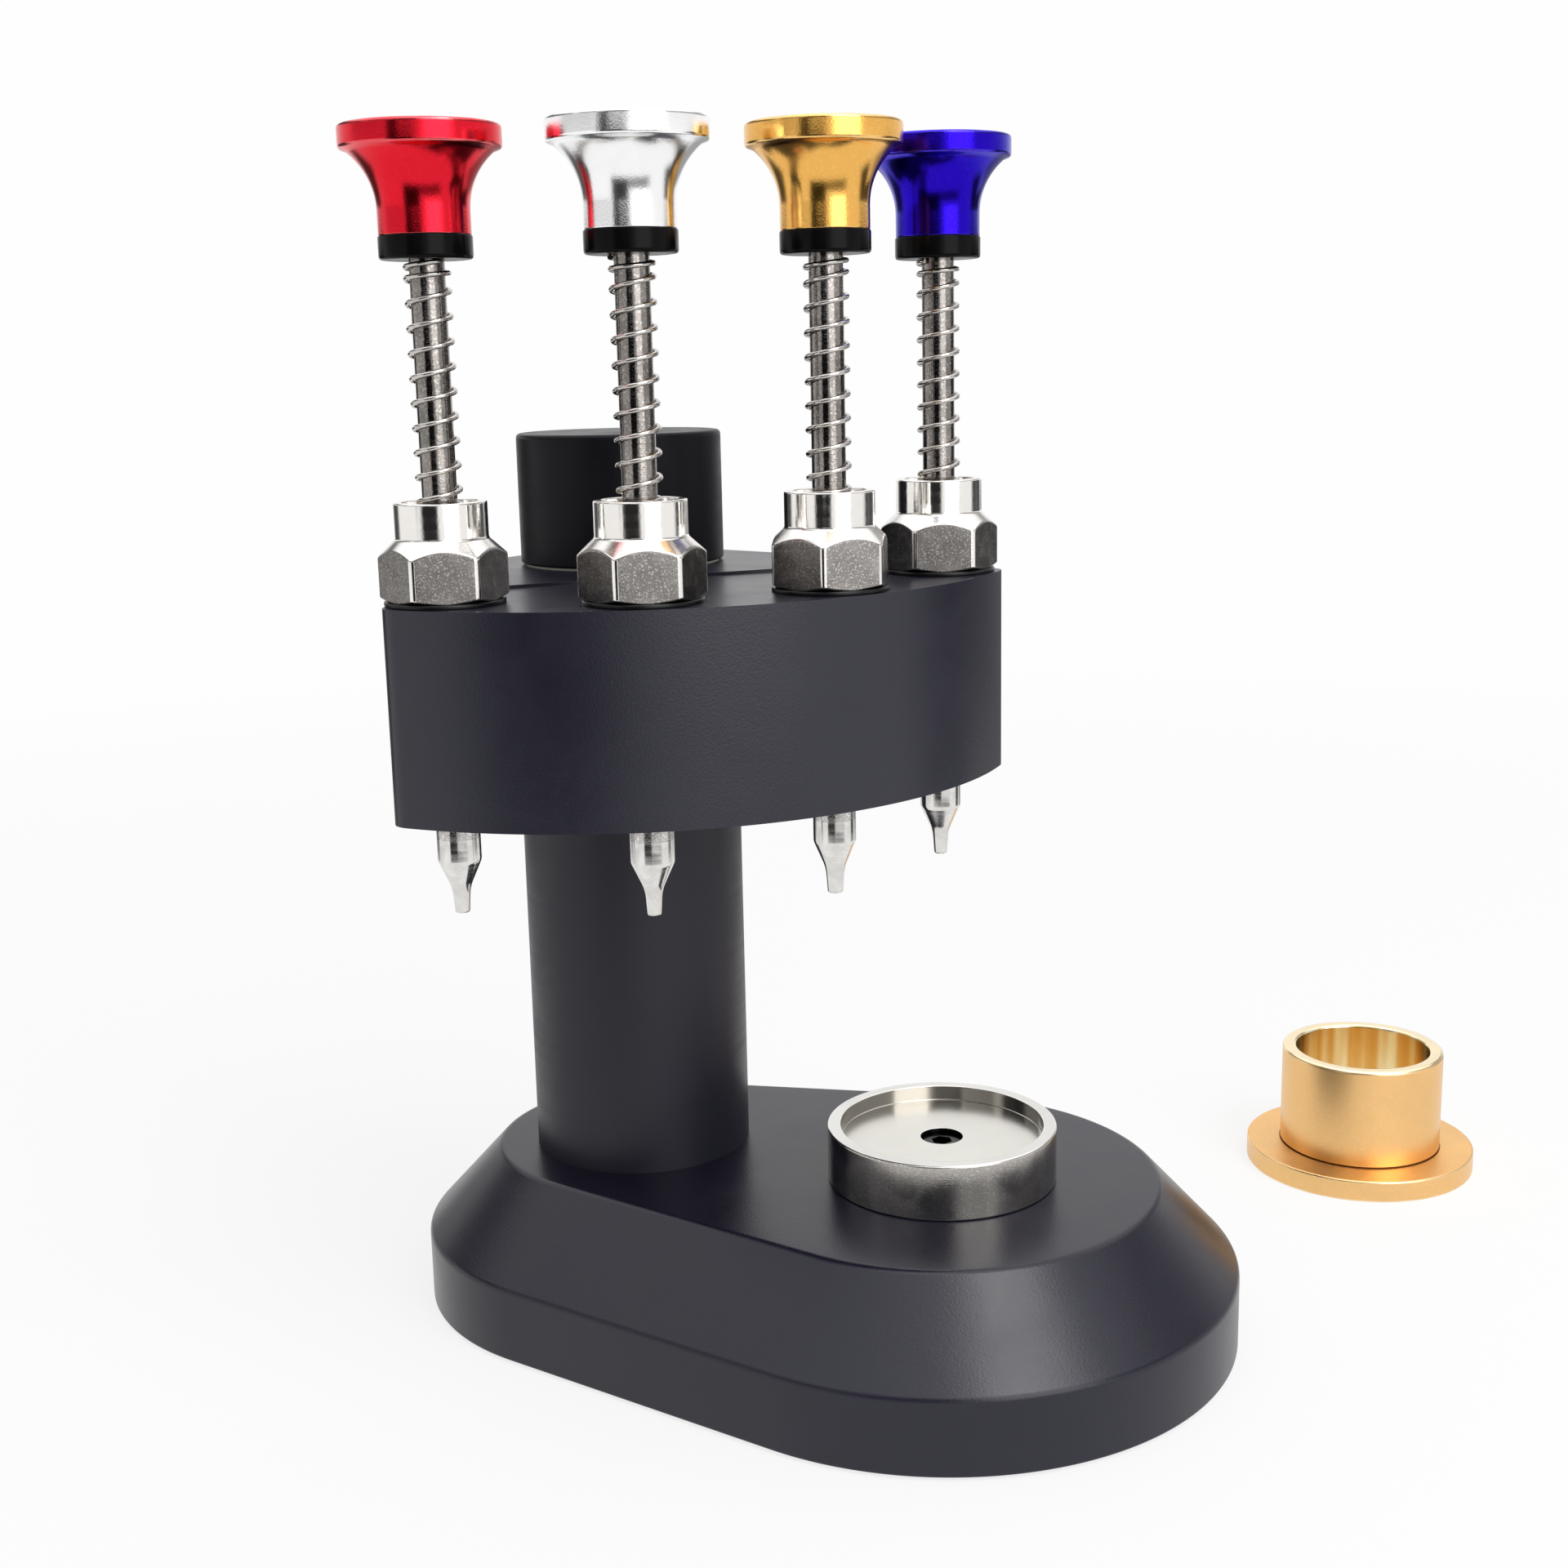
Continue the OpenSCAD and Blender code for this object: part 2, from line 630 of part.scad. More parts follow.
module bumper(i) {
    r = bumper_d / 2;
    color("#141416") rotate([0, 0, plunger_angle(i)]) translate([swing_r, 0, bumper_z])
        difference() {
            rotate_extrude() polygon([
                [0, 0], [r - edge_break, 0], [r, edge_break], [r, bumper_h], [0, bumper_h]]);
            translate([0, 0, -over])
                cylinder(h = bumper_h + 2 * over, d = rod_d + 2 * thread_gap);
        }
}

module bumper_red() { bumper(RED); }
module bumper_silver() { bumper(SILVER); }
module bumper_gold() { bumper(GOLD); }
module bumper_blue() { bumper(BLUE); }

// Rod: its thick end slides in the head and stops under the nut's stem
module rod(i) {
    thick = shank_d / 2;
    thin = rod_d / 2;
    top = knob_z + knob_bore_l - edge_break;
    color("#8f8a83") rotate([0, 0, plunger_angle(i)]) translate([swing_r, 0, 0])
        rotate_extrude() polygon([
            [0, tip_joint_z - spigot_l], [spigot_d / 2, tip_joint_z - spigot_l],
            [spigot_d / 2, tip_joint_z], [thick, tip_joint_z], [thick, stop_z - edge_break / 3],
            [thick - edge_break / 3, stop_z], [thin, stop_z], [thin, top - edge_break],
            [thin - edge_break, top], [0, top]]);
}

module rod_red() { rod(RED); }
module rod_silver() { rod(SILVER); }
module rod_gold() { rod(GOLD); }
module rod_blue() { rod(BLUE); }

module tip(i) {
    shank_r = shank_d / 2;
    end_r = nose_r[i];
    color("#b3aea6") rotate([0, 0, plunger_angle(i)]) translate([swing_r, 0, 0]) difference() {
        rotate_extrude() polygon([
            [0, tip_z], [end_r - edge_break, tip_z], [end_r, tip_z + edge_break],
            [end_r + tip_nose_flare, nose_z], [shank_r, cone_z], [shank_r, tip_joint_z],
            [0, tip_joint_z]]);
        translate([0, 0, tip_joint_z - spigot_l - edge_break])
            cylinder(h = spigot_l + edge_break + over, d = spigot_d + 2 * thread_gap);
        translate([0, 0, tip_z - over]) cylinder(h = nose_bore_l + over, r = nose_bore_r[i]);
    }
}

module tip_red() { tip(RED); }
module tip_silver() { tip(SILVER); }
module tip_gold() { tip(GOLD); }
module tip_blue() { tip(BLUE); }

// Flanged ring that stands beside the tool. Its tube drops into the seat's recess
module movement_ring() {
    tube_r = ring_tube_d / 2;
    flange_r = ring_flange_d / 2;
    bore_r = ring_bore_d / 2;
    undercut = 0.3;
    color("#d8a458") translate([ring_x, ring_y, 0]) rotate_extrude() polygon([
        [bore_r, edge_break], [bore_r + edge_break, 0], [flange_r - edge_break, 0],
        [flange_r, edge_break], [flange_r, ring_flange_t - edge_break],
        [flange_r - edge_break, ring_flange_t], [tube_r + undercut, ring_flange_t],
        [tube_r + undercut, ring_flange_t - undercut], [tube_r - undercut, ring_flange_t - undercut],
        [tube_r - undercut, ring_flange_t + undercut], [tube_r, ring_flange_t + 2 * undercut],
        [tube_r, ring_h - 2 * edge_break], [tube_r - 2 * edge_break, ring_h],
        [bore_r + edge_break, ring_h], [bore_r, ring_h - edge_break]]);
}

base_body();
base_pad();
post();
post_screw();
post_cap();
cap_screw();
thrust_washer_lower();
thrust_washer_upper();
movement_seat();
seat_screw();
head_body();
index_ball();
index_spring();
index_screw();
guide_nut_red();
guide_nut_silver();
guide_nut_gold();
guide_nut_blue();
nut_washer_red();
nut_washer_silver();
nut_washer_gold();
nut_washer_blue();
spring_red();
spring_silver();
spring_gold();
spring_blue();
knob_red();
knob_silver();
knob_gold();
knob_blue();
bumper_red();
bumper_silver();
bumper_gold();
bumper_blue();
rod_red();
rod_silver();
rod_gold();
rod_blue();
tip_red();
tip_silver();
tip_gold();
tip_blue();
movement_ring();
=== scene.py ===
"""Looks of a bench tool that presses hands onto a watch movement.

A black base carries a post and a steel seat. A head with four sprung, coloured plungers turns
on the post. A flanged brass ring stands beside the tool. Every piece takes its place and size
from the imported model, in metres, with Z up and the floor at z = 0.
"""

from __future__ import annotations

import json
import logging
import math
from dataclasses import dataclass
from enum import Enum
from typing import Callable, Iterable, Sequence

import bmesh
import bpy
from mathutils import Matrix, Vector

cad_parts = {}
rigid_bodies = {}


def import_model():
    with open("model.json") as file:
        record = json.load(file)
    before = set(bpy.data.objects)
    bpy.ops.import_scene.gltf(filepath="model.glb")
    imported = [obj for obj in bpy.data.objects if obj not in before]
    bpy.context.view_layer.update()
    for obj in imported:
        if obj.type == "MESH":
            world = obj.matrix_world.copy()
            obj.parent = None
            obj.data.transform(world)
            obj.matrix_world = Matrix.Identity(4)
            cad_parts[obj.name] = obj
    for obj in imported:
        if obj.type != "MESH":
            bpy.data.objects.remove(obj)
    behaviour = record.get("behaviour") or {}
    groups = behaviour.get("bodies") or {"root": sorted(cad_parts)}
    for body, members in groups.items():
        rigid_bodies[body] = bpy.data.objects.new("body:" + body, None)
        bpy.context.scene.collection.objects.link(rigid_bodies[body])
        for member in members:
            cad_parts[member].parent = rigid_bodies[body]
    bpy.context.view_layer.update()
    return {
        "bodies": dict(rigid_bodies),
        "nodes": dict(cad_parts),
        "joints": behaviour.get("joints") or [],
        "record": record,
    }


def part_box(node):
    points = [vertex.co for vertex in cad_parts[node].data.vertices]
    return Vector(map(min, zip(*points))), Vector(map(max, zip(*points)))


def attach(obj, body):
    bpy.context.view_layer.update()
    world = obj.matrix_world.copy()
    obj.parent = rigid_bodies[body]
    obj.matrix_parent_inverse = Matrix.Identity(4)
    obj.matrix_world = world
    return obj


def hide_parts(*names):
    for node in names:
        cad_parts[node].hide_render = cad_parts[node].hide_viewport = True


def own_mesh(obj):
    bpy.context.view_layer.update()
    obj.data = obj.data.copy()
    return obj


log = logging.getLogger("hand_setting_tool")

MM = 0.001
EDGE = "edge"
SHARP_ANGLE = math.radians(32)
FLAT_FACE_WEIGHT = 60
MOST_OF_A_SIDE = 0.48
TINY = 1e-7
UPWARD = Vector((0, 0, 1))

Colour = tuple[float, float, float]
Point2 = tuple[float, float]


class Plunger(Enum):
    """The four plungers, in their order round the post."""

    RED = "red"
    SILVER = "silver"
    GOLD = "gold"
    BLUE = "blue"


@dataclass(frozen=True)
class Traits:
    """What one plunger has that the other three haven't.

    Attributes:
        dye: linear colour of its knob
        rubbed: colour of the knob's rubbed edges
        nut_turn: bearing of a corner of its guide nut, in degrees
        coil_turn: bearing at which its spring's wire starts, in degrees
        nose_r: radius of its tip's nose
        nose_hole_r: radius of the hole in the nose
    """

    dye: Colour
    rubbed: Colour
    nut_turn: float
    coil_turn: float
    nose_r: float
    nose_hole_r: float


TRAITS = {
    Plunger.RED: Traits(
        dye=(0.74, 0.014, 0.030), rubbed=(0.95, 0.35, 0.36), nut_turn=33.0, coil_turn=230.0,
        nose_r=0.88 * MM, nose_hole_r=0.5 * MM,
    ),
    Plunger.SILVER: Traits(
        dye=(0.93, 0.93, 0.93), rubbed=(0.98, 0.98, 0.98), nut_turn=32.0, coil_turn=90.0,
        nose_r=0.82 * MM, nose_hole_r=0.4 * MM,
    ),
    Plunger.GOLD: Traits(
        dye=(0.86, 0.46, 0.11), rubbed=(1.0, 0.78, 0.42), nut_turn=45.0, coil_turn=25.0,
        nose_r=0.95 * MM, nose_hole_r=0.6 * MM,
    ),
    Plunger.BLUE: Traits(
        dye=(0.019, 0.004, 0.47), rubbed=(0.16, 0.11, 0.80), nut_turn=24.0, coil_turn=140.0,
        nose_r=0.86 * MM, nose_hole_r=0.3 * MM,
    ),
}


class Stop(Enum):
    """What an opening in a turned profile does at its two ends."""

    POLE = "pole"
    LOOP = "loop"


@dataclass(frozen=True)
class Corner:
    """One corner of a turned profile.

    Attributes:
        r: distance from the axis
        z: height
        soft: how far the rounding reaches along both sides of the corner
        finish: material index of the surface that runs on from this corner
    """

    r: float
    z: float
    soft: float = 0.0
    finish: int = 0


@dataclass(frozen=True)
class Ring:
    """One ring of vertices of a turned surface, with its edge mask and finish."""

    r: float
    z: float
    edge: float
    finish: int


def lerp(a: float, b: float, t: float) -> float:
    """The value that lies the share t of the way from a to b."""
    return a + (b - a) * t


def grey(level: float) -> tuple[float, float, float, float]:
    """A colour without a tint."""
    return level, level, level, 1.0


def polar(r: float, degrees: float) -> Vector:
    """A point in the plan, at distance r from the axis and at an angle from +X."""
    turn = math.radians(degrees)
    return Vector((r * math.cos(turn), r * math.sin(turn)))


def soften(corners: Sequence[Corner], stop: Stop = Stop.POLE, steps: int = 4) -> list[Ring]:
    """Rounds the corners of a turned profile.

    Args:
        corners: the profile's corners in order
        stop: whether the profile ends at the axis or closes on itself
        steps: how many straight pieces each rounding has

    Returns:
        The rings of vertices along the profile.
    """
    rings: list[Ring] = []
    count = len(corners)
    for i, corner in enumerate(corners):
        at_end = stop is Stop.POLE and i in (0, count - 1)
        if corner.soft <= 0 or at_end:
            rings.append(Ring(corner.r, corner.z, 0.0, corner.finish))
            continue
        here = Vector((corner.r, corner.z))
        before = Vector((corners[i - 1].r, corners[i - 1].z)) - here
        after = Vector((corners[(i + 1) % count].r, corners[(i + 1) % count].z)) - here
        shorter = min(before.length, after.length)
        reach = min(corner.soft, MOST_OF_A_SIDE * shorter)
        start = here + before.normalized() * reach
        end = here + after.normalized() * reach
        for k in range(steps + 1):
            t = k / steps
            point = start * (1 - t) ** 2 + here * 2 * t * (1 - t) + end * t**2
            mask = 0.0 if k in (0, steps) else 1.0
            finish = corners[i - 1].finish if t < 0.5 else corner.finish
            rings.append(Ring(point.x, point.y, mask, finish))
    return rings


def arc(centre: Point2, radius: float, start: float, end: float, steps: int) -> list[Point2]:
    """Points along an arc.

    Args:
        centre: the arc's centre
        radius: its radius
        start: the angle of its first point, in degrees
        end: the angle of its last point, in degrees
        steps: how many straight pieces it has

    Returns:
        The points, both ends among them.
    """
    middle = Vector(centre)
    points = [middle + polar(radius, lerp(start, end, k / steps)) for k in range(steps + 1)]
    return [(p.x, p.y) for p in points]


def finish_mesh(obj: bpy.types.Object, materials: Sequence[bpy.types.Material]) -> None:
    """Gives a piece its materials, smooth shading and flat-looking flat faces.

    Args:
        obj: the piece
        materials: its materials, in the order of its faces' finishes
    """
    mesh = obj.data
    chosen = [min(polygon.material_index, len(materials) - 1) for polygon in mesh.polygons]
    mesh.materials.clear()
    for material in materials:
        mesh.materials.append(material)
    mesh.polygons.foreach_set("material_index", chosen)
    mesh.polygons.foreach_set("use_smooth", [True] * len(chosen))
    mesh.set_sharp_from_angle(angle=SHARP_ANGLE)
    shading = obj.modifiers.new("flat faces", "WEIGHTED_NORMAL")
    shading.keep_sharp = True
    shading.weight = FLAT_FACE_WEIGHT


def new_piece(name: str, mesh: bpy.types.Mesh, place: Vector | None = None) -> bpy.types.Object:
    """Puts a mesh into the scene as an object.

    Args:
        name: the object's name
        mesh: its mesh
        place: where it stands, or None for the origin

    Returns:
        The object.
    """
    obj = bpy.data.objects.new(name, mesh)
    bpy.context.scene.collection.objects.link(obj)
    if place is not None:
        obj.location = place
    return obj


def mesh_from(
    name: str,
    vertices: Sequence[Sequence[float]],
    faces: Sequence[Sequence[int]],
    finishes: Sequence[int] | None = None,
    edges: Sequence[float] | None = None,
) -> bpy.types.Mesh:
    """Makes a mesh with its faces' finishes and its vertices' edge mask.

    Args:
        name: the mesh's name
        vertices: its points
        faces: the vertex numbers of each face
        finishes: each face's material index
        edges: each vertex's edge mask

    Returns:
        The mesh, with its faces turned outwards.
    """
    mesh = bpy.data.meshes.new(name)
    mesh.from_pydata([tuple(v) for v in vertices], [], [tuple(f) for f in faces])
    if finishes is not None:
        mesh.polygons.foreach_set("material_index", list(finishes))
    if edges is not None:
        mask = mesh.attributes.new(EDGE, "FLOAT", "POINT")
        mask.data.foreach_set("value", list(edges))
    shape = bmesh.new()
    shape.from_mesh(mesh)
    bmesh.ops.recalc_face_normals(shape, faces=shape.faces)
    shape.to_mesh(mesh)
    shape.free()
    mesh.update()
    return mesh


def spin(
    name: str,
    profile: Callable[[float], list[Ring]],
    angles: Sequence[float],
    stop: Stop,
    face_finish: Callable[[float, int], int] | None = None,
) -> bpy.types.Mesh:
    """Turns a profile about the Z axis. The profile may change with the angle.

    Args:
        name: the mesh's name
        profile: gives the rings at an angle, in degrees, as many at each angle
        angles: the angles of the columns of vertices
        stop: whether the profile ends at the axis or closes on itself
        face_finish: gives a face's finish from its angle and its ring's finish

    Returns:
        The turned mesh.
    """
    columns = [profile(a) for a in angles]
    count = len(columns[0])
    vertices: list[Vector] = []
    edges: list[float] = []
    index: list[list[int]] = [[0] * count for _ in angles]
    for j in range(count):
        is_pole = columns[0][j].r < TINY
        for i, angle in enumerate(angles):
            ring = columns[i][j]
            if is_pole and i > 0:
                index[i][j] = index[0][j]
                continue
            index[i][j] = len(vertices)
            flat = polar(ring.r, angle)
            vertices.append(Vector((flat.x, flat.y, ring.z)))
            edges.append(ring.edge)
    faces: list[list[int]] = []
    finishes: list[int] = []
    rows = count if stop is Stop.LOOP else count - 1
    for i, angle in enumerate(angles):
        n = (i + 1) % len(angles)
        middle = (angle + (angles[n] if n else angles[0] + 360)) / 2
        for j in range(rows):
            k = (j + 1) % count
            loop = [index[i][j], index[n][j], index[n][k], index[i][k]]
            face = [v for m, v in enumerate(loop) if v not in loop[:m]]
            if len(face) > 2:
                faces.append(face)
                ring_finish = columns[i][j].finish
                finishes.append(face_finish(middle, ring_finish) if face_finish else ring_finish)
    return mesh_from(name, vertices, faces, finishes, edges)


def lathe(
    name: str, corners: Sequence[Corner], stop: Stop = Stop.POLE, segments: int = 128
) -> bpy.types.Mesh:
    """Turns a profile with softened corners about the Z axis.

    Args:
        name: the mesh's name
        corners: the profile's corners in order
        stop: whether the profile ends at the axis or closes on itself
        segments: how many columns of faces go round

    Returns:
        The turned mesh.
    """
    rings = soften(corners, stop)
    angles = [k * 360 / segments for k in range(segments)]
    return spin(name, lambda _angle: rings, angles, stop)


def loft(
    name: str, rings: Sequence[Ring], plan: Callable[[float], list[Point2]]
) -> bpy.types.Mesh:
    """Stacks an outline at several insets and heights, and closes both ends.

    Args:
        name: the mesh's name
        rings: each ring's r is minus its inset
        plan: gives the outline at an inset

    Returns:
        The closed mesh.
    """
    vertices: list[Sequence[float]] = []
    edges: list[float] = []
    for ring in rings:
        outline = plan(-ring.r)
        vertices += [(x, y, ring.z) for x, y in outline]
        edges += [ring.edge] * len(outline)
    count = len(vertices) // len(rings)
    faces: list[list[int]] = []
    for j in range(len(rings) - 1):
        low, high = j * count, (j + 1) * count
        for i in range(count):
            n = (i + 1) % count
            faces.append([low + i, low + n, high + n, high + i])
    top = (len(rings) - 1) * count
    faces.append(list(range(count)))
    faces.append(list(range(top, top + count)))
    return mesh_from(name, vertices, faces, None, edges)


def cylinder_between(
    name: str, start: Vector, end: Vector, radius: float, segments: int = 64
) -> bpy.types.Object:
    """A plain cylinder, used only as a cutter.

    Args:
        name: the cutter's name
        start: the middle of one end
        end: the middle of the other end
        radius: its radius
        segments: how many sides it has

    Returns:
        The cutter.
    """
    along = end - start
    shape = bmesh.new()
    bmesh.ops.create_cone(
        shape,
        cap_ends=True,
        segments=segments,
        radius1=radius,
        radius2=radius,
        depth=along.length,
    )
    turn = UPWARD.rotation_difference(along.normalized()).to_matrix().to_4x4()
    shape.transform(Matrix.Translation((start + end) / 2) @ turn)
    mesh = bpy.data.meshes.new(name)
    shape.to_mesh(mesh)
    shape.free()
    return new_piece(name, mesh)


def apply_modifiers(obj: bpy.types.Object) -> None:
    """Turns a piece's modifiers into its plain mesh.

    Args:
        obj: the piece
    """
    bpy.context.view_layer.update()
    graph = bpy.context.evaluated_depsgraph_get()
    shaped = bpy.data.meshes.new_from_object(obj.evaluated_get(graph))
    obj.modifiers.clear()
    obj.data = shaped


def drill(obj: bpy.types.Object, cutters: Iterable[bpy.types.Object]) -> None:
    """Cuts holes into a piece and removes the cutters.

    Args:
        obj: the piece
        cutters: one object for each hole
    """
    for cutter in list(cutters):
        cut = obj.modifiers.new("hole", "BOOLEAN")
        cut.operation = "DIFFERENCE"
        cut.solver = "EXACT"
        cut.object = cutter
        apply_modifiers(obj)
        bpy.data.objects.remove(cutter)


def break_edges(obj: bpy.types.Object, width: float, finish: int, steps: int = 3) -> None:
    """Rounds a piece's sharp edges and gives the roundings a finish of their own.

    Args:
        obj: the piece
        width: how far each rounding reaches
        finish: the roundings' material index
        steps: how many straight pieces each rounding has
    """
    bevel = obj.modifiers.new("broken edges", "BEVEL")
    bevel.limit_method = "ANGLE"
    bevel.angle_limit = SHARP_ANGLE
    bevel.width = width
    bevel.segments = steps
    bevel.use_clamp_overlap = True
    bevel.material = finish
    apply_modifiers(obj)


class NodeKit:
    """Adds nodes to a shader tree or group and links them."""

    def __init__(self, tree: bpy.types.NodeTree) -> None:
        """Starts with a tree, which may be empty."""
        self.tree = tree

    def feed(self, socket: bpy.types.NodeSocket, value: object) -> None:
        """Links an output to an input, or sets the input's own value.

        Args:
            socket: the input
            value: an output, a number or a colour
        """
        if isinstance(value, bpy.types.NodeSocket):
            self.tree.links.new(value, socket)
        else:
            socket.default_value = value

    def put(self, kind: str, inputs: dict | None = None, **settings: object) -> bpy.types.Node:
        """Adds a node.

        Args:
            kind: the node's type
            inputs: a value or another node's output for each named or numbered input
            settings: the node's own settings

        Returns:
            The node.
        """
        node = self.tree.nodes.new(kind)
        for key, value in settings.items():
            setattr(node, key, value)
        for key, value in (inputs or {}).items():
            self.feed(node.inputs[key], value)
        return node

    def math(self, operation: str, *values: object) -> bpy.types.NodeSocket:
        """One step of arithmetic on values or outputs."""
        return self.put("ShaderNodeMath", dict(enumerate(values)), operation=operation).outputs[0]

    def mix(self, share: object, low: object, high: object) -> bpy.types.NodeSocket:
        """A colour that has a share of the second of two colours."""
        inputs = {0: share, 6: low, 7: high}
        return self.put("ShaderNodeMix", inputs, data_type="RGBA").outputs[2]

    def remap(
        self, value: object, low: float, high: float, to_low: object = 0.0, to_high: object = 1.0
    ) -> bpy.types.NodeSocket:
        """A value moved from one range to another and kept inside it."""
        inputs = {0: value, 1: low, 2: high, 3: to_low, 4: to_high}
        return self.put("ShaderNodeMapRange", inputs).outputs[0]

    def spot(self) -> bpy.types.NodeSocket:
        """The shaded point in the piece's own frame."""
        return self.put("ShaderNodeTexCoord").outputs["Object"]

    def split(self, vector: bpy.types.NodeSocket) -> list[bpy.types.NodeSocket]:
        """The three parts of a vector."""
        return list(self.put("ShaderNodeSeparateXYZ", {0: vector}).outputs)

    def join(self, x: object, y: object, z: object) -> bpy.types.NodeSocket:
        """A vector or a colour out of three parts."""
        return self.put("ShaderNodeCombineXYZ", {0: x, 1: y, 2: z}).outputs[0]

    def noise(
        self,
        where: bpy.types.NodeSocket,
        scale: object,
        detail: float,
        roughness: float = 0.5,
        distortion: float = 0.0,
        dimensions: str = "3D",
    ) -> bpy.types.NodeSocket:
        """Cloudy noise.

        Args:
            where: the point at which it is taken
            scale: how many clouds go into a metre
            detail: how many finer layers it has
            roughness: how strong the finer layers are
            distortion: how far the clouds are bent
            dimensions: whether it changes along two or three directions

        Returns:
            The noise, mostly between 0.3 and 0.7.
        """
        inputs = {
            "Vector": where,
            "Scale": scale,
            "Detail": detail,
            "Roughness": roughness,
            "Distortion": distortion,
        }
        return self.put("ShaderNodeTexNoise", inputs, noise_dimensions=dimensions).outputs["Fac"]

    def blend(
        self, share: object, first: bpy.types.Node, second: bpy.types.Node
    ) -> bpy.types.Node:
        """A shader that has a share of the second of two shaders."""
        inputs = {0: share, 1: first.outputs[0], 2: second.outputs[0]}
        return self.put("ShaderNodeMixShader", inputs)

    def group(self, made: bpy.types.NodeTree, **inputs: object) -> bpy.types.Node:
        """Places a node group.

        Args:
            made: the group's tree
            inputs: a value or an output for each input, by its name in small letters

        Returns:
            The group's node.
        """
        node = self.put("ShaderNodeGroup", node_tree=made)
        for key, value in inputs.items():
            self.feed(node.inputs[key.replace("_", " ").capitalize()], value)
        return node


class SurfaceGroups:
    """Node groups that the finishes share: grain with its painted glints, lathe lines, handling,
    wear and painted bore reflections.
    """

    CLOUD = (0.3, 0.7)
    # SPARKLING and SPARKLE_SCALE shape the mask of grains painted lighter as painted glints.
    SPARKLING = (0.56, 0.72)
    SPARKLE_SCALE = 0.61
    WIDE_LINE_SCALE = 0.23
    WORN = (0.35, 0.65)
    LEAST_WEAR = 0.35
    # BANDS and BAND_LEAN shape the lighter streaks painted into a bore as painted reflections.
    BANDS = (0.42, 0.58)
    BAND_LEAN = 0.04

    def __init__(self) -> None:
        """Builds each group once."""
        self.grain = self._grain()
        self.lines = self._lines()
        self.handling = self._handling()
        self.edge_wear = self._edge_wear()
        self.streaks = self._bore_reflections()

    @staticmethod
    def _start(name: str, inputs: dict[str, float], outputs: Sequence[str]) -> tuple:
        """Makes a group with its sockets.

        Args:
            name: the group's name
            inputs: each input's name and first value
            outputs: the outputs' names

        Returns:
            The tree, its node kit, its input node and its output node.
        """
        tree = bpy.data.node_groups.new(name, "ShaderNodeTree")
        for label, value in inputs.items():
            socket = tree.interface.new_socket(
                name=label, in_out="INPUT", socket_type="NodeSocketFloat"
            )
            socket.default_value = value
        for label in outputs:
            tree.interface.new_socket(
                name=label, in_out="OUTPUT", socket_type="NodeSocketFloat"
            )
        kit = NodeKit(tree)
        return tree, kit, kit.put("NodeGroupInput"), kit.put("NodeGroupOutput")

    def _grain(self) -> bpy.types.NodeTree:
        """Grain of a bead-blasted surface: its height, and a mask of the few grains whose colour is
        lightened as painted glints.

        Returns:
            The group's tree.
        """
        tree, kit, given, out = self._start(
            "blasted grain", {"Grain size": 0.15 * MM}, ("Height", "Sparkle")
        )
        spot = kit.spot()
        scale = kit.math("DIVIDE", 1.0, given.outputs["Grain size"])
        fine = kit.noise(spot, scale, detail=1.5, roughness=0.6)
        bright = kit.noise(spot, kit.math("MULTIPLY", scale, self.SPARKLE_SCALE), detail=0.0)
        kit.feed(out.inputs["Height"], fine)
        kit.feed(out.inputs["Sparkle"], kit.remap(bright, *self.SPARKLING))
        return tree

    def _lines(self) -> bpy.types.NodeTree:
        """Lines that a lathe tool leaves: rings that follow the surface round the Z axis.

        Returns:
            The group's tree.
        """
        tree, kit, given, out = self._start(
            "turned lines", {"Pitch": 0.12 * MM}, ("Height", "Streak")
        )
        x, y, z = kit.split(kit.spot())
        squares = kit.math("ADD", kit.math("POWER", x, 2.0), kit.math("POWER", y, 2.0))
        rings = kit.join(kit.math("SQRT", squares), z, 0.0)
        scale = kit.math("DIVIDE", 1.0, given.outputs["Pitch"])
        wide_scale = kit.math("MULTIPLY", scale, self.WIDE_LINE_SCALE)
        fine = kit.noise(rings, scale, detail=2.0, roughness=0.7, dimensions="2D")
        wide = kit.noise(rings, wide_scale, detail=2.0, dimensions="2D")
        kit.feed(out.inputs["Height"], fine)
        kit.feed(out.inputs["Streak"], kit.remap(wide, *self.CLOUD))
        return tree

    def _handling(self) -> bpy.types.NodeTree:
        """Soft patches that handling and anodising leave.

        Returns:
            The group's tree.
        """
        tree, kit, given, out = self._start("handling", {"Patch size": 12 * MM}, ("Patch",))
        scale = kit.math("DIVIDE", 1.0, given.outputs["Patch size"])
        cloud = kit.noise(kit.spot(), scale, detail=3.0, roughness=0.55, distortion=0.6)
        kit.feed(out.inputs["Patch"], kit.remap(cloud, *self.CLOUD))
        return tree

    def _edge_wear(self) -> bpy.types.NodeTree:
        """Where a rounded edge is rubbed bright, more in some places than in others.

        Returns:
            The group's tree.
        """
        tree, kit, given, out = self._start(
            "edge wear", {"Amount": 0.5, "Patch size": 4 * MM}, ("Mask",)
        )
        edge = kit.put("ShaderNodeAttribute", attribute_name=EDGE).outputs["Fac"]
        scale = kit.math("DIVIDE", 1.0, given.outputs["Patch size"])
        cloud = kit.noise(kit.spot(), scale, detail=4.0)
        uneven = kit.remap(cloud, *self.WORN, self.LEAST_WEAR, 1.0)
        worn = kit.math("MULTIPLY", kit.math("MULTIPLY", edge, uneven), given.outputs["Amount"])
        kit.feed(out.inputs["Mask"], worn)
        return tree

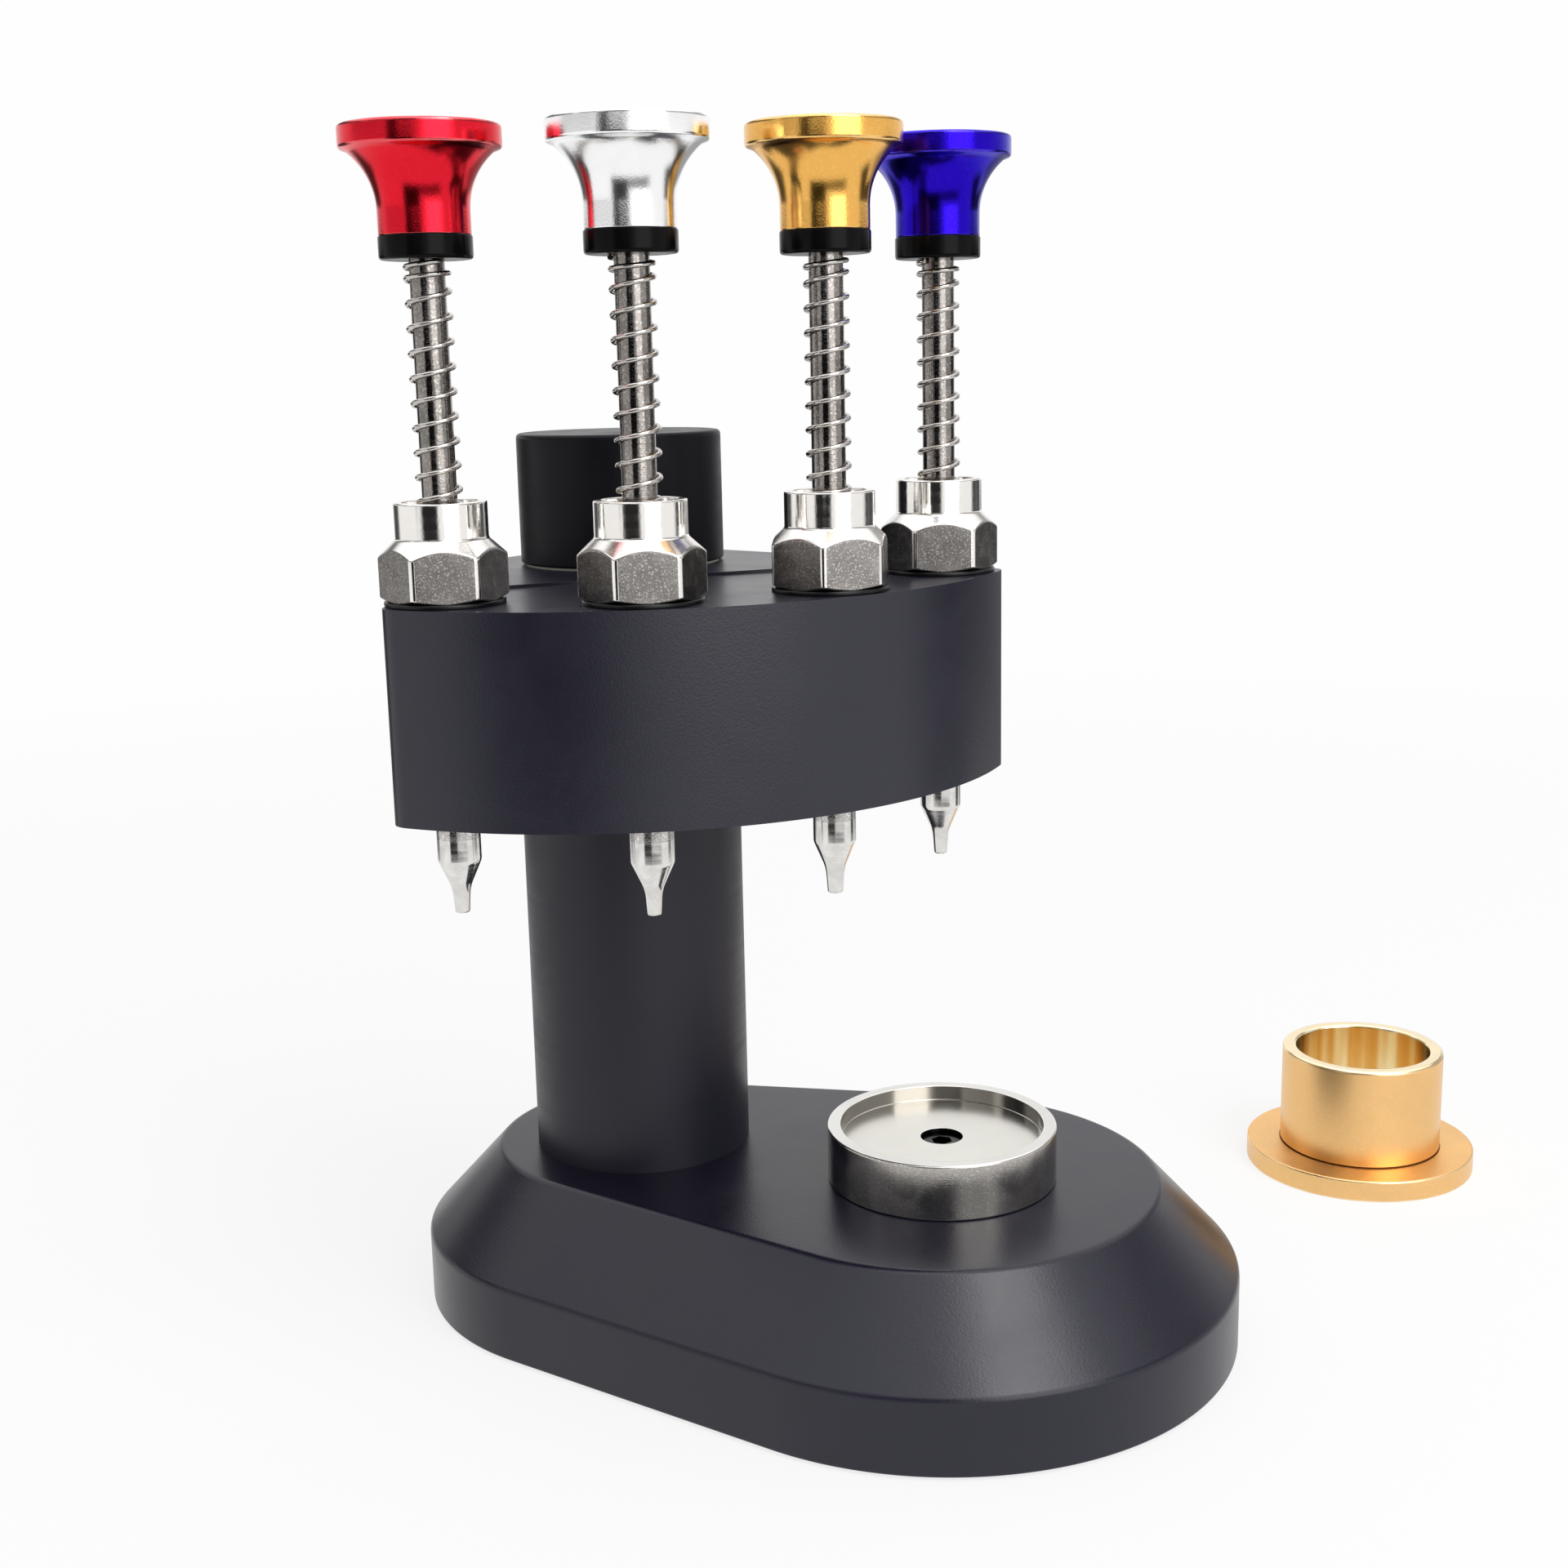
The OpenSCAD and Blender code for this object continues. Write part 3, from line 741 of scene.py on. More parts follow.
    def _bore_reflections(self) -> bpy.types.NodeTree:
        """Lengthwise painted reflection streaks in a bore: bands that run along the Z axis.

        Returns:
            The group's tree.
        """
        tree, kit, given, out = self._start("painted bore reflections", {"Width": 2 * MM}, ("Band",))
        x, y, z = kit.split(kit.spot())
        flat = kit.join(x, y, kit.math("MULTIPLY", z, self.BAND_LEAN))
        cloud = kit.noise(flat, kit.math("DIVIDE", 1.0, given.outputs["Width"]), detail=1.0)
        kit.feed(out.inputs["Band"], kit.remap(cloud, *self.BANDS))
        return tree


@dataclass(frozen=True)
class Finish:
    """A surface finish, from which a material is built.

    Attributes:
        name: the finish in a maker's words
        colour: its linear colour
        metallic: 1 for bare or anodised metal, 0 for a dark dyed or painted skin
        roughness: how far it spreads a reflection
        grain_size: size of the blasted grain, or 0
        grain_depth: height of the grain
        painted_glint: how much lighter single grains are painted, as painted glints
        line_pitch: distance between turning lines, or 0
        line_depth: height of the lines
        streak: how far the lines change the roughness
        patch: how far handling changes the roughness
        patch_size: size of those patches
        tone: how far the patches change the colour
        wear: how bright rounded edges are rubbed
        wear_colour: the colour of a rubbed edge
        specular: strength of the reflection of a finish that is not metal
        band: width of the lengthwise painted reflection streaks, or 0
        painted_reflection_colour: the colour of the lighter streaks, a painted reflection
    """

    name: str
    colour: Colour
    metallic: float = 1.0
    roughness: float = 0.3
    grain_size: float = 0.0
    grain_depth: float = 0.0
    painted_glint: float = 0.0
    line_pitch: float = 0.0
    line_depth: float = 0.0
    streak: float = 0.0
    patch: float = 0.05
    patch_size: float = 10 * MM
    tone: float = 0.06
    wear: float = 0.0
    wear_colour: Colour = (0.5, 0.5, 0.5)
    specular: float = 0.5
    band: float = 0.0
    painted_reflection_colour: Colour = (1.0, 1.0, 1.0)

    # SPARKLE_GAIN and SPARKLE_LIFT lighten single grains' colour: painted glints.
    SPARKLE_GAIN = 2.2
    SPARKLE_LIFT = 0.02
    RUBBED_SMOOTHER = 0.4
    LEAST_ROUGHNESS = 0.03

    def build(self, groups: SurfaceGroups) -> bpy.types.Material:
        """Makes the material.

        Args:
            groups: the shared node groups

        Returns:
            The material.
        """
        material = bpy.data.materials.new(self.name)
        material.use_nodes = True
        material.node_tree.nodes.clear()
        material.diffuse_color = (*self.colour, 1)
        kit = NodeKit(material.node_tree)
        shader = kit.put(
            "ShaderNodeBsdfPrincipled",
            {"Metallic": self.metallic, "Specular IOR Level": self.specular},
        )
        kit.put("ShaderNodeOutputMaterial", {"Surface": shader.outputs[0]})
        patch = kit.group(groups.handling, patch_size=self.patch_size).outputs["Patch"]
        rough = kit.math("ADD", self.roughness, kit.remap(patch, 0, 1, -self.patch, self.patch))
        colour = kit.mix(patch, self._toned(1 - self.tone), self._toned(1 + self.tone))
        normal = None
        if self.line_pitch > 0:
            lines = kit.group(groups.lines, pitch=self.line_pitch)
            streak = kit.remap(lines.outputs["Streak"], 0, 1, -self.streak, self.streak)
            rough = kit.math("ADD", rough, streak)
            normal = self._bump(kit, lines.outputs["Height"], self.line_depth, None)
        if self.grain_size > 0:
            grain = kit.group(groups.grain, grain_size=self.grain_size)
            normal = self._bump(kit, grain.outputs["Height"], self.grain_depth, normal)
            # Single grains are painted lighter than the finish: painted glints.
            if self.painted_glint > 0:
                share = kit.math("MULTIPLY", grain.outputs["Sparkle"], self.painted_glint)
                light = self._toned(self.SPARKLE_GAIN, self.SPARKLE_LIFT)
                colour = kit.mix(share, colour, light)
        # Lighter lengthwise bands are painted into the colour: painted reflection streaks.
        if self.band > 0:
            band = kit.group(groups.streaks, width=self.band).outputs["Band"]
            colour = kit.mix(band, colour, (*self.painted_reflection_colour, 1))
        if self.wear > 0:
            mask = kit.group(groups.edge_wear, amount=self.wear).outputs["Mask"]
            colour = kit.mix(mask, colour, (*self.wear_colour, 1))
            smoother = kit.math("MULTIPLY", mask, self.roughness * self.RUBBED_SMOOTHER)
            rough = kit.math("SUBTRACT", rough, smoother)
        kit.feed(shader.inputs["Base Color"], colour)
        limited = kit.math("MAXIMUM", kit.math("MINIMUM", rough, 1.0), self.LEAST_ROUGHNESS)
        kit.feed(shader.inputs["Roughness"], limited)
        if normal is not None:
            kit.feed(shader.inputs["Normal"], normal)
        return material

    def _toned(self, gain: float, lift: float = 0.0) -> tuple[float, float, float, float]:
        """The finish's colour made lighter or darker, no part of it over 1."""
        red, green, blue = (min(1.0, part * gain + lift) for part in self.colour)
        return red, green, blue, 1.0

    @staticmethod
    def _bump(
        kit: NodeKit, height: bpy.types.NodeSocket, depth: float, normal: object
    ) -> bpy.types.NodeSocket:
        """Adds relief on top of an earlier normal.

        Args:
            kit: the material's node kit
            height: the relief, from 0 to 1
            depth: its real height
            normal: the earlier normal, or None

        Returns:
            The normal with the relief.
        """
        inputs: dict = {"Strength": 1.0, "Distance": depth, "Height": height}
        if normal is not None:
            inputs["Normal"] = normal
        return kit.put("ShaderNodeBump", inputs).outputs[0]


class Finishes:
    """All the tool's finishes, each built once."""

    def __init__(self) -> None:
        """Builds the node groups and every material."""
        groups = SurfaceGroups()
        satin = dict(
            metallic=0.0, grain_size=0.3 * MM, grain_depth=0.018 * MM, patch=0.03, tone=0.10,
            specular=0.45,
        )
        self.black = Finish(
            "satin_black_anodised", (0.0070, 0.0064, 0.0170), roughness=0.29, **satin
        ).build(groups)
        self.head_black = Finish(
            "satin_black_head", (0.0072, 0.0066, 0.0170), roughness=0.33,
            **{**satin, "specular": 0.54},
        ).build(groups)
        # A lighter black for the head's rounded edges: a painted edge highlight.
        self.edge_highlight_black = Finish(
            "satin_black_painted_edge_highlight", (0.013, 0.0125, 0.025), roughness=0.25, **satin
        ).build(groups)
        self.cap_black = Finish(
            "turned_black_anodised", (0.0055, 0.0055, 0.0085), metallic=0.0, roughness=0.38,
            grain_size=0.25 * MM, grain_depth=0.006 * MM, line_pitch=0.25 * MM,
            line_depth=0.001 * MM, streak=0.02, specular=0.13,
        ).build(groups)
        self.post_black = Finish(
            "post_black_anodised", (0.0125, 0.0120, 0.0205), metallic=0.0, roughness=0.42,
            grain_size=0.25 * MM, grain_depth=0.006 * MM, line_pitch=0.25 * MM,
            line_depth=0.0012 * MM, streak=0.02, specular=0.34,
        ).build(groups)
        self.gloss_black = Finish(
            "gloss_black_ring", (0.0022, 0.0022, 0.0026), metallic=0.0, roughness=0.2,
            line_pitch=0.3 * MM, line_depth=0.0006 * MM, streak=0.03, patch=0.04, specular=0.08,
        ).build(groups)
        self.washer_black = Finish(
            "black_washer", (0.003, 0.003, 0.0035), metallic=0.0, roughness=0.32,
            line_pitch=0.2 * MM, line_depth=0.001 * MM, specular=0.3,
        ).build(groups)
        self.nickel = Finish(
            "polished_nickel", (0.86, 0.835, 0.80), roughness=0.12, line_pitch=0.16 * MM,
            line_depth=0.0004 * MM, streak=0.03, grain_size=0.24 * MM, grain_depth=0.0050 * MM,
            patch=0.03, tone=0.05,
        ).build(groups)
        self.nickel_cone = Finish(
            "satin_nickel_cone", (0.84, 0.815, 0.78), roughness=0.20, grain_size=0.20 * MM,
            grain_depth=0.007 * MM, patch=0.04, patch_size=3 * MM, tone=0.10,
        ).build(groups)
        self.nickel_flat = Finish(
            "blasted_nickel_flat", (0.225, 0.212, 0.203), roughness=0.26, grain_size=0.13 * MM,
            grain_depth=0.020 * MM, painted_glint=0.60, patch=0.05, patch_size=2.5 * MM, tone=0.25,
        ).build(groups)
        self.rod_steel = Finish(
            "turned_rod_steel", (0.225, 0.208, 0.195), roughness=0.11, line_pitch=0.16 * MM,
            line_depth=0.006 * MM, streak=0.05, grain_size=0.18 * MM, grain_depth=0.012 * MM,
            painted_glint=0.4, patch=0.06, patch_size=3 * MM, tone=0.30,
        ).build(groups)
        self.shank_steel = Finish(
            "rough_shank_steel", (0.46, 0.445, 0.43), roughness=0.14, line_pitch=0.16 * MM,
            line_depth=0.006 * MM, streak=0.05, grain_size=0.18 * MM, grain_depth=0.012 * MM,
            painted_glint=0.5, patch=0.06, patch_size=3 * MM, tone=0.30,
        ).build(groups)
        self.spring_steel = Finish(
            "drawn_spring_wire", (0.56, 0.53, 0.50), roughness=0.14, grain_size=0.12 * MM,
            grain_depth=0.0015 * MM, patch=0.06, patch_size=2 * MM, tone=0.2,
        ).build(groups)
        self.tip_steel = Finish(
            "turned_tip_steel", (0.70, 0.685, 0.66), roughness=0.10, line_pitch=0.1 * MM,
            line_depth=0.0012 * MM, streak=0.06, grain_size=0.18 * MM, grain_depth=0.0018 * MM,
            painted_glint=0.15, patch=0.05, patch_size=3 * MM, tone=0.16,
        ).build(groups)
        self.seat_side = Finish(
            "satin_seat_side", (0.50, 0.475, 0.44), roughness=0.21, grain_size=0.2 * MM,
            grain_depth=0.008 * MM, painted_glint=0.2, patch=0.06, patch_size=7 * MM, tone=0.2,
        ).build(groups)
        self.seat_rim = Finish(
            "polished_seat_rim", (0.78, 0.76, 0.73), roughness=0.06, line_pitch=0.1 * MM,
            line_depth=0.0003 * MM, streak=0.02, wear=0.5, wear_colour=(0.93, 0.92, 0.89),
        ).build(groups)
        self.seat_wall = Finish(
            "turned_seat_wall", (0.40, 0.375, 0.34), roughness=0.07, line_pitch=0.1 * MM,
            line_depth=0.0003 * MM, streak=0.02,
        ).build(groups)
        self.seat_floor = Finish(
            "faced_seat_floor", (0.77, 0.755, 0.70), roughness=0.25, grain_size=0.25 * MM,
            grain_depth=0.0015 * MM, patch=0.02, patch_size=8 * MM, tone=0.03,
        ).build(groups)
        self.brass = Finish(
            "satin_brass", (0.87, 0.535, 0.225), roughness=0.33, grain_size=0.22 * MM,
            grain_depth=0.003 * MM, painted_glint=0.08, patch=0.03, patch_size=9 * MM, tone=0.04,
            wear=0.8, wear_colour=(0.98, 0.80, 0.52),
        ).build(groups)
        self.brass_bright = Finish(
            "polished_brass", (0.98, 0.81, 0.53), roughness=0.09, grain_size=0.25 * MM,
            grain_depth=0.0015 * MM, patch=0.03, patch_size=7 * MM, tone=0.04, wear=0.6,
            wear_colour=(1.0, 0.86, 0.62),
        ).build(groups)
        self.brass_flange = Finish(
            "satin_brass_flange", (0.84, 0.52, 0.22), roughness=0.44, grain_size=0.22 * MM,
            grain_depth=0.003 * MM, painted_glint=0.08, patch=0.03, patch_size=9 * MM, tone=0.04,
        ).build(groups)
        # The bore's brass carries lighter lengthwise streaks painted as reflections.
        self.brass_bore = Finish(
            "brass_bore_painted_reflections", (0.85, 0.58, 0.24), roughness=0.2, patch=0.02, tone=0.03,
            band=2.4 * MM, painted_reflection_colour=(1.0, 0.95, 0.76),
        ).build(groups)
        # A dark brass painted into the groove at the tube's foot: painted shade.
        self.brass_shade = Finish(
            "brass_groove_painted_shade", (0.30, 0.13, 0.035), roughness=0.5, patch=0.02, tone=0.03
        ).build(groups)
        self.rubber = Finish(
            "pad_rubber", (0.02, 0.02, 0.021), metallic=0.0, roughness=0.75,
            grain_size=0.4 * MM, grain_depth=0.03 * MM, specular=0.3,
        ).build(groups)
        self.nylon = Finish(
            "nylon_washer", (0.72, 0.69, 0.60), metallic=0.0, roughness=0.45,
            line_pitch=0.2 * MM, line_depth=0.004 * MM, streak=0.05,
        ).build(groups)
        self.oxide = Finish(
            "black_oxide_screw", (0.012, 0.0115, 0.0125), roughness=0.16, grain_size=0.2 * MM,
            grain_depth=0.004 * MM, patch=0.08, tone=0.2,
        ).build(groups)
        self.screw_steel = Finish(
            "bright_screw", (0.55, 0.53, 0.5), roughness=0.18, grain_size=0.2 * MM,
            grain_depth=0.002 * MM, patch=0.06, tone=0.15,
        ).build(groups)
        self.knobs = {key: self._knob(key, groups) for key in Plunger}

    @staticmethod
    def _knob(key: Plunger, groups: SurfaceGroups) -> bpy.types.Material:
        """The dyed, finely blasted finish of one knob.

        Args:
            key: the knob's plunger
            groups: the shared node groups

        Returns:
            The material.
        """
        traits = TRAITS[key]
        return Finish(
            f"anodised_{key.value}", traits.dye, roughness=0.18, grain_size=0.22 * MM,
            grain_depth=0.011 * MM, painted_glint=0.08, patch=0.02, tone=0.05, wear=0.4,
            wear_colour=traits.rubbed,
        ).build(groups)


@dataclass
class Piece:
    """Where a finished piece belongs."""

    obj: bpy.types.Object
    body: str
    slot: str
    nodes: tuple[str, ...]

    def settle(self) -> bpy.types.Object:
        """Ties the piece to its body and the nodes that it stands for.

        Returns:
            The piece's object.
        """
        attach(self.obj, self.body)
        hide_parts(*self.nodes)
        log.info("%s rides on %s for %s", self.obj.name, self.body, ", ".join(self.nodes))
        return self.obj


def settle(
    name: str,
    mesh: bpy.types.Mesh,
    place: Vector,
    materials: Sequence[bpy.types.Material],
    body: str,
    slot: str,
    *nodes: str,
) -> bpy.types.Object:
    """Places a mesh, dresses it and ties it to its body and nodes.

    Args:
        name: the piece's name
        mesh: its mesh
        place: where it stands
        materials: its materials, in the order of its faces' finishes
        body: the body that it rides on
        slot: kept with the piece, not used
        nodes: the CAD nodes that it stands for

    Returns:
        The piece's object.
    """
    obj = new_piece(name, mesh, place)
    finish_mesh(obj, materials)
    return Piece(obj, body, slot, nodes).settle()


def dress(frame: dict, material: bpy.types.Material, *nodes: str) -> None:
    """Gives CAD pieces that stay as they are their own finish.

    Args:
        frame: the loaded frame
        material: the finish
        nodes: the pieces' names
    """
    for node in nodes:
        mesh = frame["nodes"][node].data
        mesh.materials.clear()
        mesh.materials.append(material)
        log.info("%s keeps its own shape in %s", node, material.name)


def centre_of(node: str) -> Vector:
    """The middle of a CAD node's box."""
    low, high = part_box(node)
    return (low + high) / 2


def axis_of(node: str) -> Vector:
    """The point on the floor under the middle of a CAD node."""
    middle = centre_of(node)
    return Vector((middle.x, middle.y, 0))


def radius_of(node: str) -> float:
    """Half the width of a round CAD node."""
    low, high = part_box(node)
    return (high.x - low.x) / 2


def from_post(node: str) -> float:
    """How far a CAD node's middle is from the post's axis."""
    middle = centre_of(node)
    return Vector((middle.x, middle.y)).length


def outward_to(node: str) -> Vector:
    """The level direction from the post's axis to a CAD node's middle."""
    middle = centre_of(node)
    return Vector((middle.x, middle.y, 0)).normalized()


def flat_ring(
    name: str, node: str, hole: float, soft_low: float, soft_high: float
) -> bpy.types.Mesh:
    """A flat ring as high and as wide as a CAD node.

    Args:
        name: the mesh's name
        node: the CAD node
        hole: the hole's radius
        soft_low: how far its lower edge is rounded
        soft_high: how far its upper edge is rounded

    Returns:
        The turned mesh.
    """
    low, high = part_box(node)
    r = radius_of(node)
    corners = [
        Corner(hole, low.z),
        Corner(r, low.z, soft_low),
        Corner(r, high.z, soft_high),
        Corner(hole, high.z),
    ]
    return lathe(name, corners, Stop.LOOP, 96)


@dataclass
class Stand:
    """The base with its post, cap and seat."""

    frame: dict
    finishes: Finishes
    edge_height: float = 10.0 * MM
    slope_width: float = 10.6 * MM
    edge_soft: float = 0.55 * MM
    pad_inset: float = 2.5 * MM
    pad_sink: float = 0.6 * MM
    post_shift: float = 0.9 * MM
    seat_shift: float = 0.8 * MM
    journal_r: float = 10.0 * MM
    stud_r: float = 6.0 * MM
    cap_hole_r: float = 1.53 * MM
    recess_r: float = 13.6 * MM
    recess_depth: float = 2.0 * MM
    screw_hole_r: float = 2.8 * MM
    screw_head: float = 3.0 * MM
    thread_r: float = 1.8 * MM

    def __post_init__(self) -> None:
        """Takes the base's height and its two rounded ends from the frame."""
        low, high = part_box("base_body")
        self.base_low, self.base_high = low.z, high.z
        self.seat_axis = axis_of("movement_seat")
        self.post_end = self.post_shift
        self.seat_end = self.seat_axis.x - self.seat_shift
        self.post_rim_r = self.post_end - low.x
        self.seat_rim_r = high.x - self.seat_end

    def plan(self, inset: float) -> list[Point2]:
        """The base's outline: two arcs joined by straight sides.

        Args:
            inset: how far the outline is drawn in

        Returns:
            The outline's points, counterclockwise.
        """
        narrowing = (self.post_rim_r - self.seat_rim_r) / (self.seat_end - self.post_end)
        side = math.degrees(math.acos(narrowing))
        seat = arc((self.seat_end, 0), self.seat_rim_r - inset, -side, side, 144)
        post = arc((self.post_end, 0), self.post_rim_r - inset, side, 360 - side, 84)
        return seat + post

    def build(self) -> None:
        """Builds and dresses every piece of the stand."""
        self._base()
        self._post()
        self._cap()
        self._seat()
        dress(self.frame, self.finishes.rubber, "base_pad")
        dress(self.frame, self.finishes.oxide, "post_screw", "cap_screw", "seat_screw")
        dress(self.frame, self.finishes.nylon, "thrust_washer_lower", "thrust_washer_upper")

    def _base(self) -> None:
        """The chamfered base, let in underneath for its pad."""
        low, high = self.base_low, self.base_high
        soft = self.edge_soft
        rings = soften(
            [
                Corner(-self.pad_inset - 4 * MM, low + self.pad_sink),
                Corner(-self.pad_inset, low + self.pad_sink),
                Corner(-self.pad_inset, low),
                Corner(0, low, 0.4 * MM),
                Corner(0, low + self.edge_height, soft),
                Corner(-self.slope_width, high, soft),
                Corner(-self.slope_width - 3 * MM, high),
            ]
        )
        mesh = loft("base", rings, self.plan)
        black = self.finishes.black
        settle("base", mesh, Vector(), [black], "stand", "satin_black", "base_body")

    def _post(self) -> None:
        """The post with its journal and stud."""
        low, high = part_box("post")
        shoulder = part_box("thrust_washer_lower")[0].z
        journal_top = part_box("thrust_washer_upper")[1].z
        post_r = radius_of("post")
        corners = [
            Corner(0, low.z),
            Corner(post_r, low.z),
            Corner(post_r, shoulder, 0.35 * MM),
            Corner(self.journal_r, shoulder),
            Corner(self.journal_r, journal_top),
            Corner(self.stud_r, journal_top),
            Corner(self.stud_r, high.z, 0.4 * MM),
            Corner(0, high.z),
        ]
        mesh = lathe("post_shaft", corners, segments=160)
        black = self.finishes.post_black
        settle("post_shaft", mesh, Vector(), [black], "stand", "satin_black", "post")

    def _cap(self) -> None:
        """The round cap, with the hole of its locking screw at the back."""
        low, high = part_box("post_cap")
        r = radius_of("post_cap")
        corners = [
            Corner(0, low.z),
            Corner(r, low.z, 0.35 * MM),
            Corner(r, high.z, 0.7 * MM),
            Corner(0, high.z),
        ]
        cap = new_piece("cap", lathe("cap", corners, segments=160))
        outward = outward_to("cap_screw")
        start = Vector((0, 0, centre_of("cap_screw").z)) + outward * self.stud_r
        end = start + outward * r
        drill(cap, [cylinder_between("cap_hole", start, end, self.cap_hole_r)])
        finish_mesh(cap, [self.finishes.cap_black])
        Piece(cap, "stand", "satin_black", ("post_cap",)).settle()

    def _seat(self) -> None:
        """The steel cup: brushed outside, polished rim and wall, faced floor, counterbored hole
        whose inside is painted dark as painted shade.
        """
        low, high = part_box("movement_seat")
        screw_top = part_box("seat_screw")[1].z
        r = radius_of("movement_seat")
        recess_r, hole_r, thread_r = self.recess_r, self.screw_hole_r, self.thread_r
        floor = high.z - self.recess_depth
        sink = screw_top - self.screw_head
        # The hole's wall, its step and the narrow bore below take the black oxide finish: painted
        # shade inside the hole.
        side, rim, faced, painted_hole_shade, wall = 0, 1, 2, 3, 4
        corners = [
            Corner(thread_r, low.z, 0, side),
            Corner(r, low.z, 0.3 * MM, side),
            Corner(r, high.z, 0.35 * MM, rim),
            Corner(recess_r, high.z, 0.2 * MM, wall),
            Corner(recess_r, floor, 0.15 * MM, faced),
            Corner(hole_r, floor, 0.15 * MM, painted_hole_shade),
            Corner(hole_r, sink, 0, painted_hole_shade),
            Corner(thread_r, sink, 0, painted_hole_shade),
        ]
        mesh = lathe("seat", corners, Stop.LOOP, 160)
        looks = self.finishes
        finishes = [
            looks.seat_side, looks.seat_rim, looks.seat_floor, looks.oxide, looks.seat_wall
        ]
        settle("seat", mesh, self.seat_axis, finishes, "stand", "seat_steel", "movement_seat")


@dataclass
class Coil:
    """A spring of round wire, wound right-handed, with nearly closed end turns.

    Attributes:
        mid_r: distance of the wire's middle from the spring's axis
        wire: the wire's diameter
        length: the spring's length
        turns: how many turns it has
        turn: bearing at which the wire starts, in degrees
        end_gap: gap between each end turn and the next
        end_lead: how many more turns lie flat at each end
        steps: how many straight pieces each turn has
        sides: how many sides the wire has
    """

    mid_r: float
    wire: float
    length: float
    turns: int
    turn: float
    end_gap: float = 0.5 * MM
    end_lead: float = 0.3
    steps: int = 36
    sides: int = 12

    FOOT = 1.5
    BEND = 0.35
    DROP = 0.8

    def rise(self, u: float) -> float:
        """The height that the wire's middle reaches.

        Args:
            u: how many turns from the start

        Returns:
            The height over the spring's lower end.
        """
        foot = self.wire * self.FOOT
        total = self.length - 2 * foot
        closed = self.wire + self.end_gap
        if u <= 1:
            return foot + closed * u - max(0.0, self.BEND - u) * self.wire * self.DROP
        if u >= self.turns - 1:
            left = self.turns - u
            lift = max(0.0, self.BEND - left) * self.wire * self.DROP
            return foot + total - closed * left + lift
        return foot + closed + (total - 2 * closed) * (u - 1) / (self.turns - 2)

    def mesh(self, name: str) -> bpy.types.Mesh:
        """The wire as one closed tube along +Z from z = 0, its sides smooth and its ends flat.

        Args:
            name: the mesh's name

        Returns:
            The tube's mesh.
        """
        lead = self.end_lead
        count = round((self.turns + 2 * lead) * self.steps)
        span = [lerp(-lead, self.turns + lead, k / count) for k in range(count + 1)]
        middle = [self._point(u) for u in span]
        vertices: list[Vector] = []
        for k, centre in enumerate(middle):
            along = (middle[min(k + 1, count)] - middle[max(k - 1, 0)]).normalized()
            out = Vector((centre.x, centre.y, 0)).normalized()
            up = along.cross(out).normalized()
            for s in range(self.sides):
                a = 2 * math.pi * s / self.sides
                spot = centre + (out * math.cos(a) + up * math.sin(a)) * self.wire / 2
                vertices.append(spot)
        faces = []
        for k in range(count):
            for s in range(self.sides):
                n = (s + 1) % self.sides
                low, high = k * self.sides, (k + 1) * self.sides
                faces.append([low + s, low + n, high + n, high + s])
        faces.append(list(range(self.sides)))
        last = count * self.sides
        faces.append(list(range(last, last + self.sides)))
        tube = mesh_from(name, vertices, faces)
        for polygon in tube.polygons:
            polygon.use_smooth = len(polygon.vertices) == 4
        return tube

    def _point(self, u: float) -> Vector:
        """The wire's middle.

        Args:
            u: how many turns from the start

        Returns:
            The point, with the spring's lower end at z = 0.
        """
        flat = polar(self.mid_r, u * 360 + self.turn)
        low, high = self.wire * 0.5, self.length - self.wire * 0.5
        return Vector((flat.x, flat.y, min(max(self.rise(u), low), high)))


